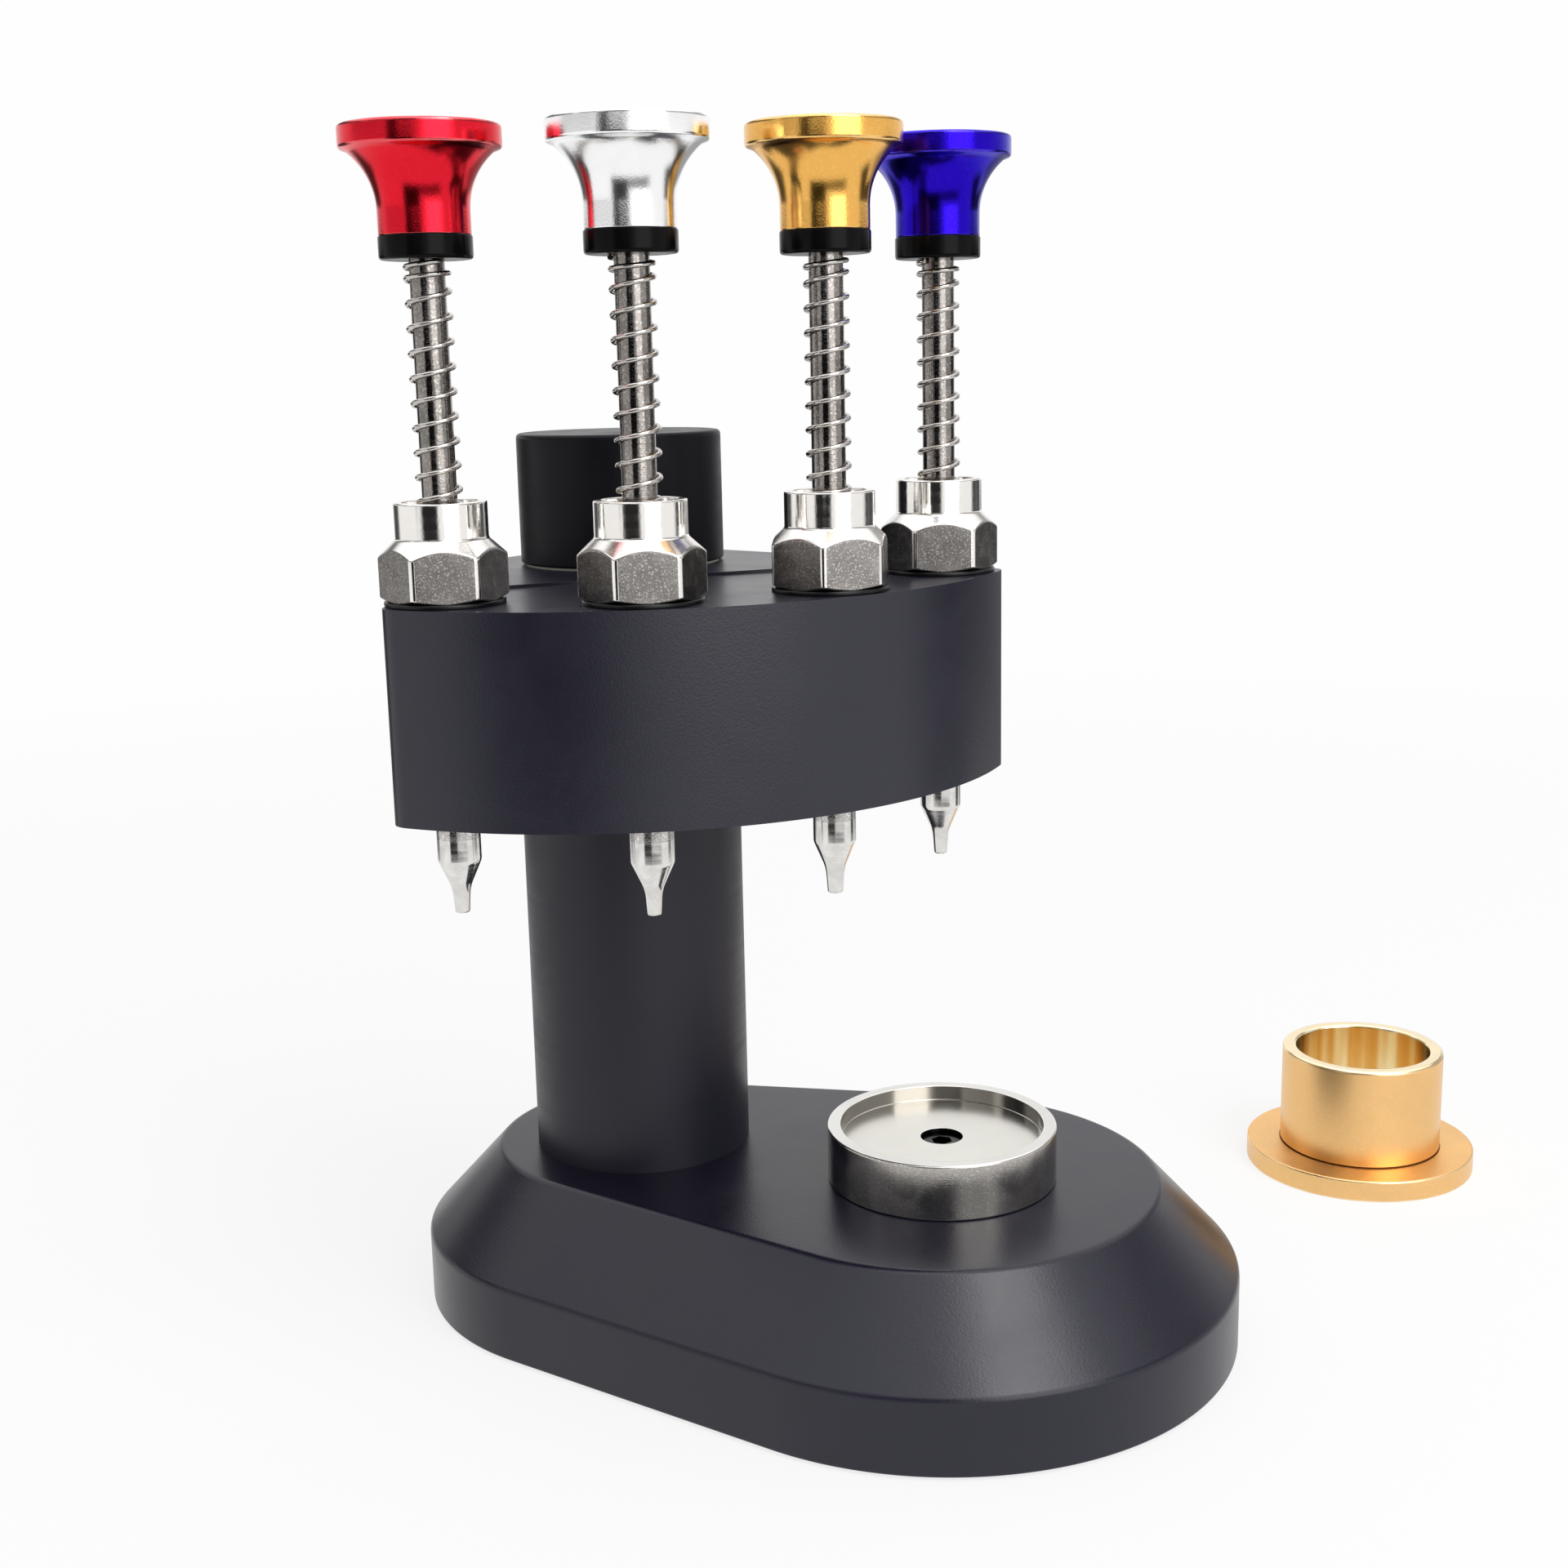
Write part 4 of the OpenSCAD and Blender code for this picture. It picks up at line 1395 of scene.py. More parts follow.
@dataclass
class Head:
    """The turning head with its guide nuts, washers, springs and index stop."""

    frame: dict
    finishes: Finishes
    front_r: float = 52.5 * MM
    lobe_r: float = 19.0 * MM
    side: float = 6.3 * MM
    corner_r: float = 3.0 * MM
    swing: float = 45.0 * MM
    land_reach: float = 21.0 * MM
    edge_break: float = 0.35 * MM
    front_angle: float = -45.0
    past: float = 2.0 * MM
    journal_bore: float = 10.05 * MM
    washer_bore: float = 13.15 * MM
    rod_bore: float = 2.65 * MM
    stem_bore: float = 4.03 * MM
    bore_overlap: float = 0.3 * MM
    ball_bore: float = 1.55 * MM
    ball_start: float = 9.0 * MM
    screw_bore: float = 2.03 * MM
    screw_depth: float = 10.0 * MM
    screw_half: float = 1.6 * MM
    nut_half: float = 6.5 * MM
    nut_corner_soft: float = 0.75 * MM
    nut_edge: float = 0.05 * MM
    hex_h: float = 5.0 * MM
    cone_h: float = 2.0 * MM
    collar_r: float = 5.35 * MM
    hollow_r: float = 4.4 * MM
    nut_bore: float = 2.05 * MM
    stem_r: float = 4.0 * MM
    nut_washer_hole: float = 4.05 * MM
    coil_r: float = 2.42 * MM
    coil_wire: float = 0.56 * MM
    coil_count: int = 11
    travel: float = 20.0 * MM
    index_coil_r: float = 1.15 * MM
    index_wire: float = 0.35 * MM
    index_count: int = 3
    index_gap: float = 0.02 * MM

    def build(self) -> None:
        """Builds and dresses every piece of the head."""
        self._block()
        for key in Plunger:
            self._nut(key)
            self._washer(key)
            self._spring(key)
        self._index_spring()
        dress(self.frame, self.finishes.screw_steel, "index_ball")
        dress(self.frame, self.finishes.oxide, "index_screw")

    def plan(self) -> list[Vector]:
        """The head's outline: lobe, corner, front, corner, joined by its straight sides.

        Returns:
            The outline's points, counterclockwise.
        """
        lean = math.degrees(math.acos((self.lobe_r - self.side) / self.swing))
        left, right = -90 - lean, lean
        inner = self.lobe_r - self.corner_r
        reach = math.sqrt((self.front_r - self.corner_r) ** 2 - inner**2)
        left_corner = polar(inner, left) + polar(reach, left + 90)
        right_corner = polar(inner, right) + polar(reach, right - 90)
        left_meet = math.degrees(math.atan2(left_corner.y, left_corner.x))
        right_meet = math.degrees(math.atan2(right_corner.y, right_corner.x))
        points = arc((0, 0), self.lobe_r, right, left + 360, 72)
        points += arc(tuple(left_corner), self.corner_r, left, left_meet, 10)
        points += arc((0, 0), self.front_r, left_meet, right_meet, 120)[1:-1]
        points += arc(tuple(right_corner), self.corner_r, right_meet, right, 10)
        return [Vector(p) for p in points]

    def _block_mesh(self) -> bpy.types.Mesh:
        """The head's solid before its holes, with the raised land's step across its top.

        Returns:
            The closed mesh.
        """
        low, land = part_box("head_body")
        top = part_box("nut_washer_red")[0].z
        forward = polar(1.0, self.front_angle)
        plan = self.plan()
        outline: list[Vector] = []
        for here, after in zip(plan, plan[1:] + plan[:1]):
            outline.append(here)
            before_line = here.dot(forward) - self.land_reach
            after_line = after.dot(forward) - self.land_reach
            if before_line * after_line < 0:
                outline.append(here.lerp(after, before_line / (before_line - after_line)))
        shape = bmesh.new()
        bottom = [shape.verts.new((p.x, p.y, low.z)) for p in outline]
        front_face: list[bmesh.types.BMVert] = []
        land_face: list[bmesh.types.BMVert] = []
        columns: list[list[bmesh.types.BMVert]] = []
        for point in outline:
            offset = point.dot(forward) - self.land_reach
            column: list[bmesh.types.BMVert] = []
            if offset > -TINY:
                column.append(shape.verts.new((point.x, point.y, top)))
                front_face.append(column[0])
            if offset < TINY:
                column.append(shape.verts.new((point.x, point.y, land.z)))
                land_face.append(column[-1])
            columns.append(column)
        for i, here in enumerate(columns):
            n = (i + 1) % len(columns)
            after = columns[n]
            is_front = (outline[i] + outline[n]).dot(forward) / 2 > self.land_reach
            edge = [after[0], here[0]] if is_front else [*after, *reversed(here)]
            shape.faces.new([bottom[i], bottom[n], *edge])
        shape.faces.new(list(reversed(bottom)))
        shape.faces.new(front_face)
        shape.faces.new(land_face)
        first, second = (column for column in columns if len(column) == 2)
        shape.faces.new([first[0], second[0], second[1], first[1]])
        bmesh.ops.recalc_face_normals(shape, faces=shape.faces)
        mesh = bpy.data.meshes.new("head_block")
        shape.to_mesh(mesh)
        shape.free()
        return mesh

    def _block(self) -> None:
        """The head's block, bored for the post, the washers, the plungers and the index stop."""
        block = new_piece("head_block", self._block_mesh())
        finishes = [self.finishes.head_black, self.finishes.edge_highlight_black]
        for finish in finishes:
            block.data.materials.append(finish)
        low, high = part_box("head_body")
        bottom, top = low.z - self.past, high.z + self.past
        washer_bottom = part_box("thrust_washer_lower")[1].z
        washer_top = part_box("thrust_washer_upper")[0].z
        centre = Vector()
        cutters = [
            self._hole("journal", centre, bottom, top, self.journal_bore),
            self._hole("lower_recess", centre, bottom, washer_bottom, self.washer_bore),
            self._hole("upper_recess", centre, washer_top, top, self.washer_bore),
        ]
        for key in Plunger:
            axis = axis_of(f"rod_{key.value}")
            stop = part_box(f"guide_nut_{key.value}")[0].z
            cutters.append(self._hole("rod_bore", axis, bottom, stop, self.rod_bore))
            foot = stop - self.bore_overlap
            cutters.append(self._hole("stem_bore", axis, foot, top, self.stem_bore))
        drill(block, cutters + self._index_holes())
        # The roundings take finish 1, the lighter black painted as an edge highlight.
        break_edges(block, self.edge_break, 1)
        finish_mesh(block, finishes)
        Piece(block, "head", "satin_black", ("head_body",)).settle()

    @staticmethod
    def _hole(
        name: str, axis: Vector, bottom: float, top: float, radius: float
    ) -> bpy.types.Object:
        """A cutter for an upright hole.

        Args:
            name: the cutter's name
            axis: a point on its axis
            bottom: the height of its lower end
            top: the height of its upper end
            radius: the hole's radius

        Returns:
            The cutter.
        """
        foot, head = Vector((axis.x, axis.y, bottom)), Vector((axis.x, axis.y, top))
        return cylinder_between(name, foot, head, radius, 96)

    def _index_holes(self) -> list[bpy.types.Object]:
        """The cutters for the index stop's bore and its screw.

        Returns:
            The two cutters.
        """
        outward = outward_to("index_screw")
        level = Vector((0, 0, centre_of("index_screw").z))
        start = level + outward * self.ball_start
        meet = level + outward * (from_post("index_screw") - self.screw_half)
        end = meet + outward * self.screw_depth
        return [
            cylinder_between("ball_bore", start, meet, self.ball_bore),
            cylinder_between("screw_bore", meet, end, self.screw_bore),
        ]

    def _nut(self, key: Plunger) -> None:
        """A guide nut: threaded stem, chamfered hexagon, cone and a hollow collar.

        Args:
            key: the nut's plunger
        """
        node = f"guide_nut_{key.value}"
        low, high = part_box(node)
        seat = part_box(f"nut_washer_{key.value}")[1].z
        spring_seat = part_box(f"spring_{key.value}")[0].z
        half, soft = self.nut_half, self.nut_corner_soft
        collar_r, hollow_r = self.collar_r, self.hollow_r
        bore_r, stem_r = self.nut_bore, self.stem_r
        middle = (half - soft) / math.cos(math.radians(30))
        sharp = half / math.cos(math.radians(30))
        hex_top = seat + self.hex_h
        cone_top = hex_top + self.cone_h
        cone_slope = self.cone_h / (sharp - collar_r)
        rise, run = soft * math.sin(math.radians(30)), soft * math.cos(math.radians(30))
        corner_half = math.degrees(math.atan2(rise, middle + run))
        polished, flat, cone = 0, 1, 2

        def from_corner(angle: float) -> float:
            """How far an angle is from the hexagon's nearest corner."""
            return (angle - TRAITS[key].nut_turn + 30) % 60 - 30

        def reach(angle: float) -> float:
            """Distance from the axis to the hexagon's wall.

            Args:
                angle: the bearing from the axis, in degrees

            Returns:
                The distance.
            """
            off = from_corner(angle)
            if abs(off) <= corner_half:
                turn = math.radians(off)
                across = middle * math.sin(turn)
                return middle * math.cos(turn) + math.sqrt(soft**2 - across**2)
            return half / math.cos(math.radians(30 - abs(off)))

        def profile(angle: float) -> list[Ring]:
            """The nut's section.

            Args:
                angle: the section's bearing, in degrees

            Returns:
                The section's rings.
            """
            wall = reach(angle)
            lift = (wall - half) / 2 + self.nut_edge
            shoulder = hex_top + (sharp - wall) * cone_slope
            corners = [
                Corner(bore_r, low.z, 0, polished),
                Corner(stem_r, low.z, 0.3 * MM, polished),
                Corner(stem_r, seat, 0, polished),
                Corner(half - self.nut_edge, seat, self.nut_edge, polished),
                Corner(wall, seat + lift, 0.12 * MM, flat),
                Corner(wall, shoulder, 0.25 * MM, cone),
                Corner(collar_r, cone_top, 0.25 * MM, polished),
                Corner(collar_r, high.z, 0.25 * MM, polished),
                Corner(hollow_r, high.z, 0.15 * MM, polished),
                Corner(hollow_r, spring_seat, 0.1 * MM, polished),
                Corner(bore_r, spring_seat, 0.1 * MM, polished),
            ]
            return soften(corners, Stop.LOOP)

        def face_finish(angle: float, finish: int) -> int:
            """Only the six flats are blasted, not the corners between them."""
            is_corner = abs(from_corner(angle)) < corner_half
            return polished if is_corner and finish == flat else finish

        angles: list[float] = []
        for k in range(6):
            corner = TRAITS[key].nut_turn + 60 * k
            angles += [corner + lerp(-corner_half, corner_half, s / 6) for s in range(7)]
            angles += [corner + lerp(corner_half, 60 - corner_half, s / 14) for s in range(1, 14)]
        mesh = spin(f"nut_{key.value}", profile, angles, Stop.LOOP, face_finish)
        looks = self.finishes
        finishes = [looks.nickel, looks.nickel_flat, looks.nickel_cone]
        settle(f"nut_{key.value}", mesh, axis_of(node), finishes, "head", "nickel", node)

    def _washer(self, key: Plunger) -> None:
        """The thin black washer under a guide nut.

        Args:
            key: the nut's plunger
        """
        node = f"nut_washer_{key.value}"
        name = f"washer_{key.value}"
        mesh = flat_ring(name, node, self.nut_washer_hole, 0.12 * MM, 0.2 * MM)
        black = [self.finishes.washer_black]
        settle(name, mesh, axis_of(node), black, "head", "black_ring", node)

    def _spring(self, key: Plunger) -> None:
        """A plunger's open coil spring.

        Args:
            key: the spring's plunger
        """
        node = f"spring_{key.value}"
        name = f"coil_{key.value}"
        low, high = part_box(node)
        axis = axis_of(f"rod_{key.value}")
        length = high.z - low.z
        turn = TRAITS[key].coil_turn
        coil = Coil(self.coil_r, self.coil_wire, length, self.coil_count, turn)
        place = Vector((axis.x, axis.y, low.z))
        spring = new_piece(name, coil.mesh(name), place)
        spring.data.materials.append(self.finishes.spring_steel)
        Piece(spring, "head", "spring_steel", (node,)).settle()
        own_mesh(spring)

    def _index_spring(self) -> None:
        """The short spring behind the index ball, lying along its bore."""
        low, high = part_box("index_ball")
        outward = outward_to("index_ball")
        start = from_post("index_ball") + (high.z - low.z) / 2
        end = from_post("index_screw") - self.screw_half
        coil = Coil(
            self.index_coil_r, self.index_wire, end - start, self.index_count, 0.0,
            end_gap=self.index_gap,
        )
        mesh = coil.mesh("index_coil")
        mesh.transform(UPWARD.rotation_difference(outward).to_matrix().to_4x4())
        mesh.materials.append(self.finishes.spring_steel)
        level = Vector((0, 0, centre_of("index_ball").z))
        spring = new_piece("index_coil", mesh, level + outward * start)
        Piece(spring, "head", "spring_steel", ("index_spring",)).settle()


@dataclass
class Plungers:
    """The four plungers: knob, bumper, rod and tip, each on its own slide."""

    finishes: Finishes
    neck_r: float = 5.15 * MM
    neck_h: float = 2.7 * MM
    flare_r: float = 8.1 * MM
    rim_h: float = 2.5 * MM
    crease: float = 0.3 * MM
    dish_depth: float = 0.12 * MM
    bumper_hole: float = 2.03 * MM
    rod_r: float = 2.0 * MM
    spigot_r: float = 1.25 * MM
    bright_band: float = 1.1 * MM
    shank_h: float = 1.7 * MM
    nose_top: float = 5.1 * MM
    nose_hole_h: float = 1.8 * MM
    socket_r: float = 1.28 * MM
    socket_h: float = 3.3 * MM

    def build(self) -> None:
        """Builds the four plungers."""
        for key in Plunger:
            self._knob(key)
            self._bumper(key)
            self._rod(key)
            self._tip(key)

    @staticmethod
    def _place(
        kind: str,
        key: Plunger,
        mesh: bpy.types.Mesh,
        materials: Sequence[bpy.types.Material],
        slot: str,
    ) -> None:
        """Places one of a plunger's pieces on its axis and ties it to its slide.

        Args:
            kind: the first word of its CAD node
            key: the plunger
            mesh: the piece's mesh, which gives it its name
            materials: its materials, in the order of its faces' finishes
            slot: kept with the piece, not used
        """
        node = f"{kind}_{key.value}"
        settle(mesh.name, mesh, axis_of(node), materials, f"plunger_{key.value}", slot, node)

    def _knob(self, key: Plunger) -> None:
        """The flared knob: neck, hollow curve, crease, rim and shallow dished top.

        Args:
            key: the knob's plunger
        """
        node = f"knob_{key.value}"
        low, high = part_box(node)
        rim_r, neck_r, flare_r = radius_of(node), self.neck_r, self.flare_r
        neck_h, rim_h, crease = self.neck_h, self.rim_h, self.crease
        lip_z = high.z - rim_h - crease
        lip_h = lip_z - low.z - neck_h
        end = math.degrees(math.asin(lip_h / flare_r))
        flare = arc((neck_r + flare_r, low.z + neck_h), flare_r, 180, 180 - end, 20)
        corners = [Corner(0, low.z), Corner(neck_r, low.z, 0.15 * MM)]
        corners += [Corner(r, z) for r, z in flare]
        corners += [
            Corner(rim_r, lip_z + crease, 0.3 * MM),
            Corner(rim_r, high.z, 0.45 * MM),
            Corner(rim_r - 1.2 * MM, high.z),
            Corner(rim_r - 1.6 * MM, high.z - self.dish_depth),
            Corner(0, high.z - self.dish_depth),
        ]
        mesh = lathe(f"button_{key.value}", corners, segments=144)
        self._place("knob", key, mesh, [self.finishes.knobs[key]], f"knob_{key.value}")

    def _bumper(self, key: Plunger) -> None:
        """The black ring between knob and spring.

        Args:
            key: the ring's plunger
        """
        node = f"bumper_{key.value}"
        name = f"stop_ring_{key.value}"
        mesh = flat_ring(name, node, self.bumper_hole, 0.45 * MM, 0.2 * MM)
        self._place("bumper", key, mesh, [self.finishes.gloss_black], "black_ring")

    def _rod(self, key: Plunger) -> None:
        """The rod, with the thick end that slides in the head.

        Args:
            key: the rod's plunger
        """
        node = f"rod_{key.value}"
        low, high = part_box(node)
        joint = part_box(f"tip_{key.value}")[1].z
        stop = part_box(f"guide_nut_{key.value}")[0].z
        thin, thick, spigot = self.rod_r, radius_of(node), self.spigot_r
        turned, bright, rough = 0, 1, 2
        corners = [
            Corner(0, low.z),
            Corner(spigot, low.z, 0.2 * MM),
            Corner(spigot, joint, 0, bright),
            Corner(thick, joint, 0, bright),
            Corner(thick, joint + self.bright_band, 0, rough),
            Corner(thick, stop, 0.15 * MM, turned),
            Corner(thin, stop),
            Corner(thin, high.z, 0.3 * MM),
            Corner(0, high.z),
        ]
        mesh = lathe(f"shaft_{key.value}", corners, segments=64)
        looks = [self.finishes.rod_steel, self.finishes.tip_steel, self.finishes.shank_steel]
        self._place("rod", key, mesh, looks, "rod_steel")

    def _tip(self, key: Plunger) -> None:
        """The screwed-on tip: shank, cone that runs hollow into a slim nose, small hole.

        Args:
            key: the tip's plunger
        """
        node = f"tip_{key.value}"
        low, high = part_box(node)
        shank = radius_of(node)
        nose, hole = TRAITS[key].nose_r, TRAITS[key].nose_hole_r
        cone_z, nose_z = high.z - self.shank_h, high.z - self.nose_top
        hole_top = low.z + self.nose_hole_h
        spigot_r, spigot_z = self.socket_r, high.z - self.socket_h
        corners = [
            Corner(0, hole_top),
            Corner(hole, hole_top),
            Corner(hole, low.z, 0.08 * MM),
            Corner(nose, low.z, 0.4 * MM),
            Corner(nose + 0.2 * MM, nose_z, 0.9 * MM),
            Corner(shank, cone_z, 0.3 * MM),
            Corner(shank, high.z),
            Corner(spigot_r, high.z),
            Corner(spigot_r, spigot_z),
            Corner(0, spigot_z),
        ]
        mesh = lathe(f"point_{key.value}", corners, segments=64)
        self._place("tip", key, mesh, [self.finishes.tip_steel], "tip_steel")


@dataclass
class LooseRing:
    """The flanged brass ring that stands beside the tool."""

    finishes: Finishes
    flange_h: float = 3.4 * MM
    tube_r: float = 12.55 * MM
    bore_r: float = 10.4 * MM
    groove: float = 0.13 * MM

    def build(self) -> None:
        """Builds the ring: satin outside, polished edges, a bore with painted reflection streaks
        and a groove in painted shade.
        """
        node = "movement_ring"
        low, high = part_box(node)
        flange_r = radius_of(node)
        groove, flange = self.groove, self.flange_h
        satin, bright, shade, reamed, dull = 0, 1, 2, 3, 4
        corners = [
            Corner(self.bore_r, low.z, 0.3 * MM, bright),
            Corner(flange_r, low.z, 0.35 * MM, satin),
            Corner(flange_r, flange, 0.35 * MM, dull),
            # The groove takes the dark brass: painted shade in the groove.
            Corner(self.tube_r + groove, flange, 0, shade),
            Corner(self.tube_r + groove, flange - groove, 0, shade),
            Corner(self.tube_r - groove, flange - groove, 0, shade),
            Corner(self.tube_r - groove, flange + groove, 0, shade),
            Corner(self.tube_r, flange + 2 * groove, 0.1 * MM, satin),
            Corner(self.tube_r, high.z, 0.6 * MM, bright),
            # The bore takes the brass with painted reflection streaks.
            Corner(self.bore_r, high.z, 0.5 * MM, reamed),
        ]
        mesh = lathe("brass_ring", corners, Stop.LOOP, 160)
        looks = self.finishes
        finishes = [
            looks.brass, looks.brass_bright, looks.brass_shade, looks.brass_bore,
            looks.brass_flange,
        ]
        settle("brass_ring", mesh, axis_of(node), finishes, "ring", "brass", node)


@dataclass(frozen=True)
class Card:
    """A darker card that stands round the tool and shows in polished metal.

    Attributes:
        side: its bearing from the camera's, in degrees
        half: half its width
        soft: how far its sides fade
        low: elevation of its lower edge
        high: elevation of its upper edge
        light: how bright it is, where 1 is white
    """

    side: float
    half: float
    soft: float
    low: float
    high: float
    light: float


TOWARD_CAMERA = -65.0
CARDS = (
    Card(side=-20.0, half=17.0, soft=6.0, low=-25.0, high=5.4, light=0.02),
    Card(side=-31.0, half=5.0, soft=5.0, low=-12.0, high=12.0, light=0.04),
    Card(side=20.0, half=24.0, soft=14.0, low=-25.0, high=-14.0, light=0.22),
    Card(side=106.0, half=7.0, soft=9.0, low=-50.0, high=2.5, light=0.08),
    Card(side=-133.0, half=12.0, soft=10.0, low=-45.0, high=2.5, light=0.08),
    Card(side=160.0, half=26.0, soft=12.0, low=-30.0, high=-4.0, light=0.35),
    Card(side=125.0, half=9.0, soft=6.0, low=-8.0, high=2.5, light=0.08),
    Card(side=-72.0, half=22.0, soft=12.0, low=6.0, high=14.0, light=0.62),
    Card(side=-13.0, half=16.0, soft=5.0, low=15.0, high=32.0, light=0.04),
    Card(side=-52.0, half=16.0, soft=6.0, low=15.0, high=32.0, light=0.42),
    Card(side=-118.0, half=34.0, soft=8.0, low=16.0, high=28.0, light=0.15),
    Card(side=100.0, half=46.0, soft=8.0, low=15.0, high=32.0, light=0.42),
)


@dataclass(frozen=True)
class SoftBox:
    """A rectangular lamp that faces the tool.

    Attributes:
        name: the lamp's name
        side: its bearing from the camera's, in degrees
        lift: its elevation, in degrees
        size: its width and height
        power: its power in watts
    """

    name: str
    side: float
    lift: float
    size: tuple[float, float]
    power: float


SOFT_BOXES = (
    SoftBox("overhead", side=-65.0, lift=87.0, size=(0.9, 0.9), power=2.4),
    SoftBox("tall_front", side=30.0, lift=24.0, size=(0.78, 1.05), power=5.2),
    SoftBox("high_front", side=36.0, lift=56.0, size=(0.50, 0.45), power=3.4),
)


@dataclass
class Studio:
    """Pale floor, soft light and the camera at the photograph's angle.

    Attributes:
        lens: the camera's focal length for a sensor 36 mm wide
        yaw: how far it is turned to the left from +Y, in degrees
        pitch: how far it looks down, in degrees
        roll: how far it leans, in degrees
        camera_place: where it stands
        floor_size: the floor's width and depth
        floor_paint: how much light the floor's paint gives back
        backdrop: how bright the backdrop is
        ambient: how much light comes from all round
        floor_white: how white the floor is under the tool
        white_from: distance from the origin at which the floor starts to turn whiter
        white_to: distance at which it is as white as it gets
        near: distance at which shiny surfaces start to see past the floor
        far: distance from which they see only the surroundings
        sky: how bright the surroundings are overhead in shiny surfaces
        sky_from: elevation at which they start to turn brighter, in degrees
        sky_to: elevation at which they are as bright as they get
        fade_below: how far a card's lower edge fades, in degrees
        fade_above: how far its upper edge fades, in degrees
        lamp_target: the point that the lamps face
        lamp_away: their distance from it
    """

    lens: float = 46.126
    yaw: float = 22.805
    pitch: float = 11.984
    roll: float = -1.2055
    camera_place: tuple[float, float, float] = (125.31 * MM, -243.37 * MM, 130.55 * MM)
    floor_size: float = 6.0
    floor_paint: float = 0.97
    backdrop: float = 0.99
    ambient: float = 0.5
    floor_white: float = 0.80
    white_from: float = 0.15
    white_to: float = 0.60
    near: float = 0.23
    far: float = 0.33
    sky: float = 1.35
    sky_from: float = 32.0
    sky_to: float = 44.0
    fade_below: float = 6.0
    fade_above: float = 1.5
    lamp_target: tuple[float, float, float] = (40 * MM, 0.0, 60 * MM)
    lamp_away: float = 1.1

    def build(self) -> None:
        """Builds the floor, the light and the camera."""
        self._floor()
        self._world()
        for box in SOFT_BOXES:
            self._lamp(box)
        self._camera()

    def _camera(self) -> None:
        """A camera turned by yaw, pitch and roll."""
        yaw, pitch, roll = (math.radians(v) for v in (self.yaw, self.pitch, self.roll))
        ahead = Vector(
            (-math.sin(yaw) * math.cos(pitch), math.cos(yaw) * math.cos(pitch), -math.sin(pitch))
        )
        right = Vector((math.cos(yaw), math.sin(yaw), 0))
        up = right.cross(ahead)
        side = right * math.cos(roll) + up * math.sin(roll)
        top = -right * math.sin(roll) + up * math.cos(roll)
        data = bpy.data.cameras.new("camera")
        data.lens = self.lens
        data.sensor_width = 36
        data.sensor_fit = "AUTO"
        data.clip_start = 0.01
        camera = bpy.data.objects.new("camera", data)
        bpy.context.scene.collection.objects.link(camera)
        turn = Matrix((side, top, -ahead)).transposed().to_4x4()
        camera.matrix_world = Matrix.Translation(self.camera_place) @ turn
        bpy.context.scene.camera = camera

    def _floor(self) -> None:
        """A pale floor that runs into the backdrop. Far away, shiny surfaces see past it."""
        half = self.floor_size / 2
        corners = [(-half, -half, 0), (half, -half, 0), (half, half, 0), (-half, half, 0)]
        floor = new_piece("floor", mesh_from("floor", corners, [[0, 1, 2, 3]]))
        material = bpy.data.materials.new("pale_floor")
        material.use_nodes = True
        material.node_tree.nodes.clear()
        kit = NodeKit(material.node_tree)
        path = kit.put("ShaderNodeLightPath").outputs
        away = kit.put("ShaderNodeVectorMath", {0: kit.spot()}, operation="LENGTH").outputs["Value"]
        paint = kit.put("ShaderNodeBsdfDiffuse", {"Color": grey(self.floor_paint)})
        white = kit.put("ShaderNodeEmission", {"Color": grey(self.backdrop)})
        gone = kit.put("ShaderNodeBsdfTransparent")
        is_seen = kit.math("MAXIMUM", path["Is Camera Ray"], path["Is Glossy Ray"])
        whiter = kit.remap(away, self.white_from, self.white_to, self.floor_white, 1.0)
        lit = kit.blend(kit.math("MULTIPLY", whiter, is_seen), paint, white)
        open_far = kit.remap(away, self.near, self.far)
        both = kit.blend(kit.math("MULTIPLY", open_far, path["Is Glossy Ray"]), lit, gone)
        kit.put("ShaderNodeOutputMaterial", {"Surface": both.outputs[0]})
        floor.data.materials.append(material)

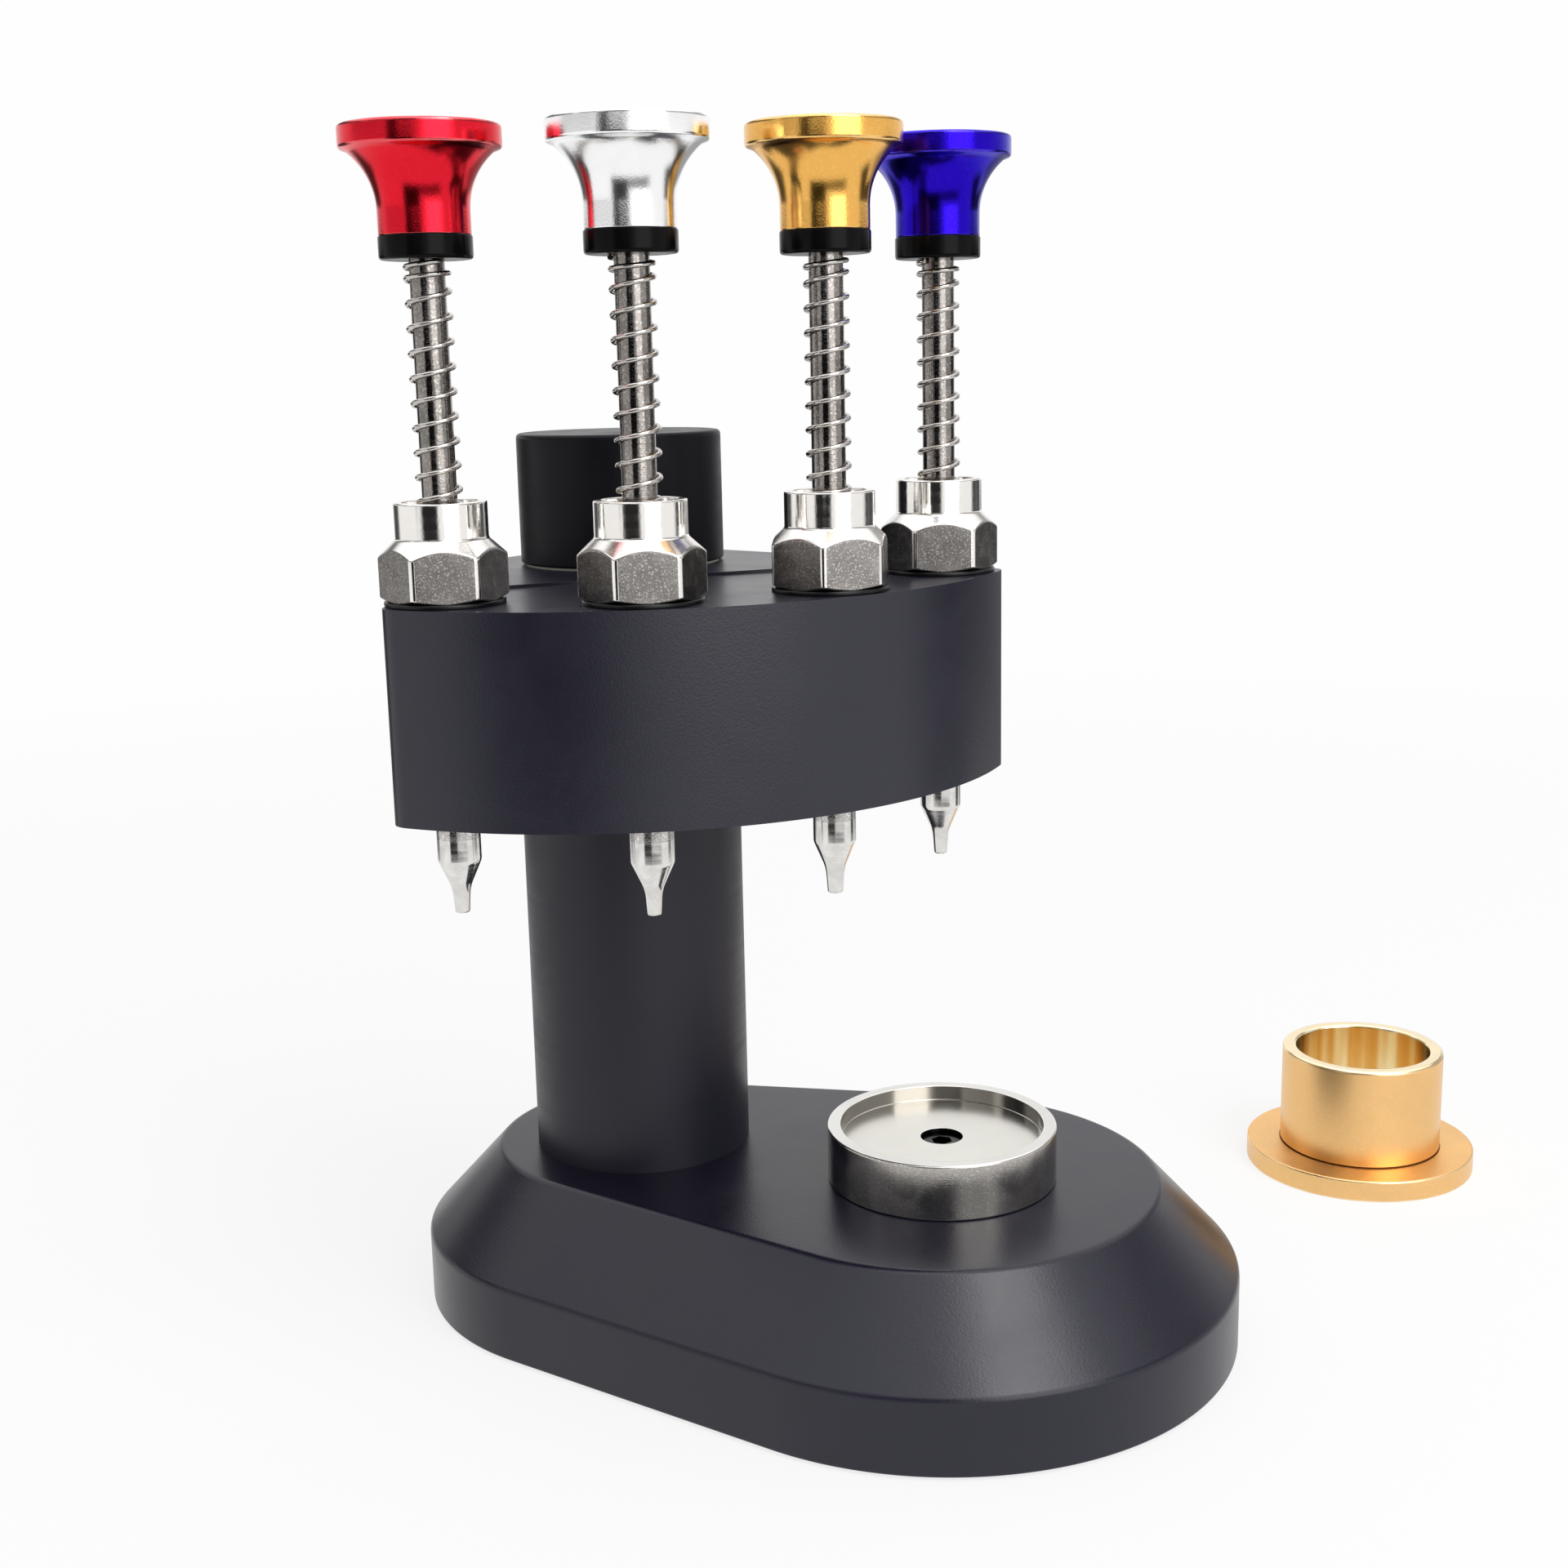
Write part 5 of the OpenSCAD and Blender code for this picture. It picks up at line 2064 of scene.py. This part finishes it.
    def _world(self) -> None:
        """White surroundings with darker cards that give polished metal its streaks."""
        world = bpy.data.worlds.new("studio")
        bpy.context.scene.world = world
        world.use_nodes = True
        world.node_tree.nodes.clear()
        kit = NodeKit(world.node_tree)
        path = kit.put("ShaderNodeLightPath").outputs
        x, y, z = kit.split(kit.put("ShaderNodeTexCoord").outputs["Generated"])
        bearing = kit.math("MULTIPLY", kit.math("ARCTAN2", y, x), 180 / math.pi)
        level = kit.math("MULTIPLY", kit.math("ARCSINE", z), 180 / math.pi)
        light: object = 1.0
        for card in CARDS:
            apart = kit.math("SUBTRACT", bearing, TOWARD_CAMERA + card.side)
            turned = kit.math("ABSOLUTE", kit.math("WRAP", apart, 180.0, -180.0))
            across = kit.remap(turned, card.half, card.half + card.soft, 1.0, 0.0)
            over = kit.remap(level, card.low - self.fade_below, card.low)
            under = kit.remap(level, card.high, card.high + self.fade_above, 1.0, 0.0)
            inside = kit.math("MULTIPLY", across, kit.math("MULTIPLY", over, under))
            light = kit.math("MINIMUM", light, kit.remap(inside, 0.0, 1.0, 1.0, card.light))
        sky = kit.remap(level, self.sky_from, self.sky_to, 1.0, self.sky)
        light = kit.math("MULTIPLY", light, sky)
        shine = kit.join(light, light, light)
        shiny = kit.put("ShaderNodeBackground", {"Color": shine, "Strength": 1.0})
        soft = kit.put("ShaderNodeBackground", {"Color": grey(1.0), "Strength": self.ambient})
        plain = kit.put("ShaderNodeBackground", {"Color": grey(self.backdrop), "Strength": 1.0})
        lit = kit.blend(path["Is Glossy Ray"], soft, shiny)
        seen = kit.blend(path["Is Camera Ray"], lit, plain)
        kit.put("ShaderNodeOutputWorld", {"Surface": seen.outputs[0]})

    def _lamp(self, box: SoftBox) -> None:
        """Adds one soft box.

        Args:
            box: its bearing, elevation, size and power
        """
        side, lift = math.radians(TOWARD_CAMERA + box.side), math.radians(box.lift)
        outward = Vector(
            (math.cos(side) * math.cos(lift), math.sin(side) * math.cos(lift), math.sin(lift))
        )
        data = bpy.data.lights.new(box.name, "AREA")
        data.shape = "RECTANGLE"
        data.size, data.size_y = box.size
        data.energy = box.power
        lamp = bpy.data.objects.new(box.name, data)
        bpy.context.scene.collection.objects.link(lamp)
        lamp.location = Vector(self.lamp_target) + outward * self.lamp_away
        lamp.rotation_euler = outward.to_track_quat("Z", "Y").to_euler()


def main() -> None:
    """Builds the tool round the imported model, then the studio."""
    logging.basicConfig(level=logging.INFO, format="%(message)s")
    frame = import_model()
    finishes = Finishes()
    Stand(frame, finishes).build()
    Head(frame, finishes).build()
    Plungers(finishes).build()
    LooseRing(finishes).build()
    Studio().build()
    bpy.context.scene.view_settings.view_transform = "Standard"
    bpy.context.view_layer.update()


if __name__ == "__main__":
    main()
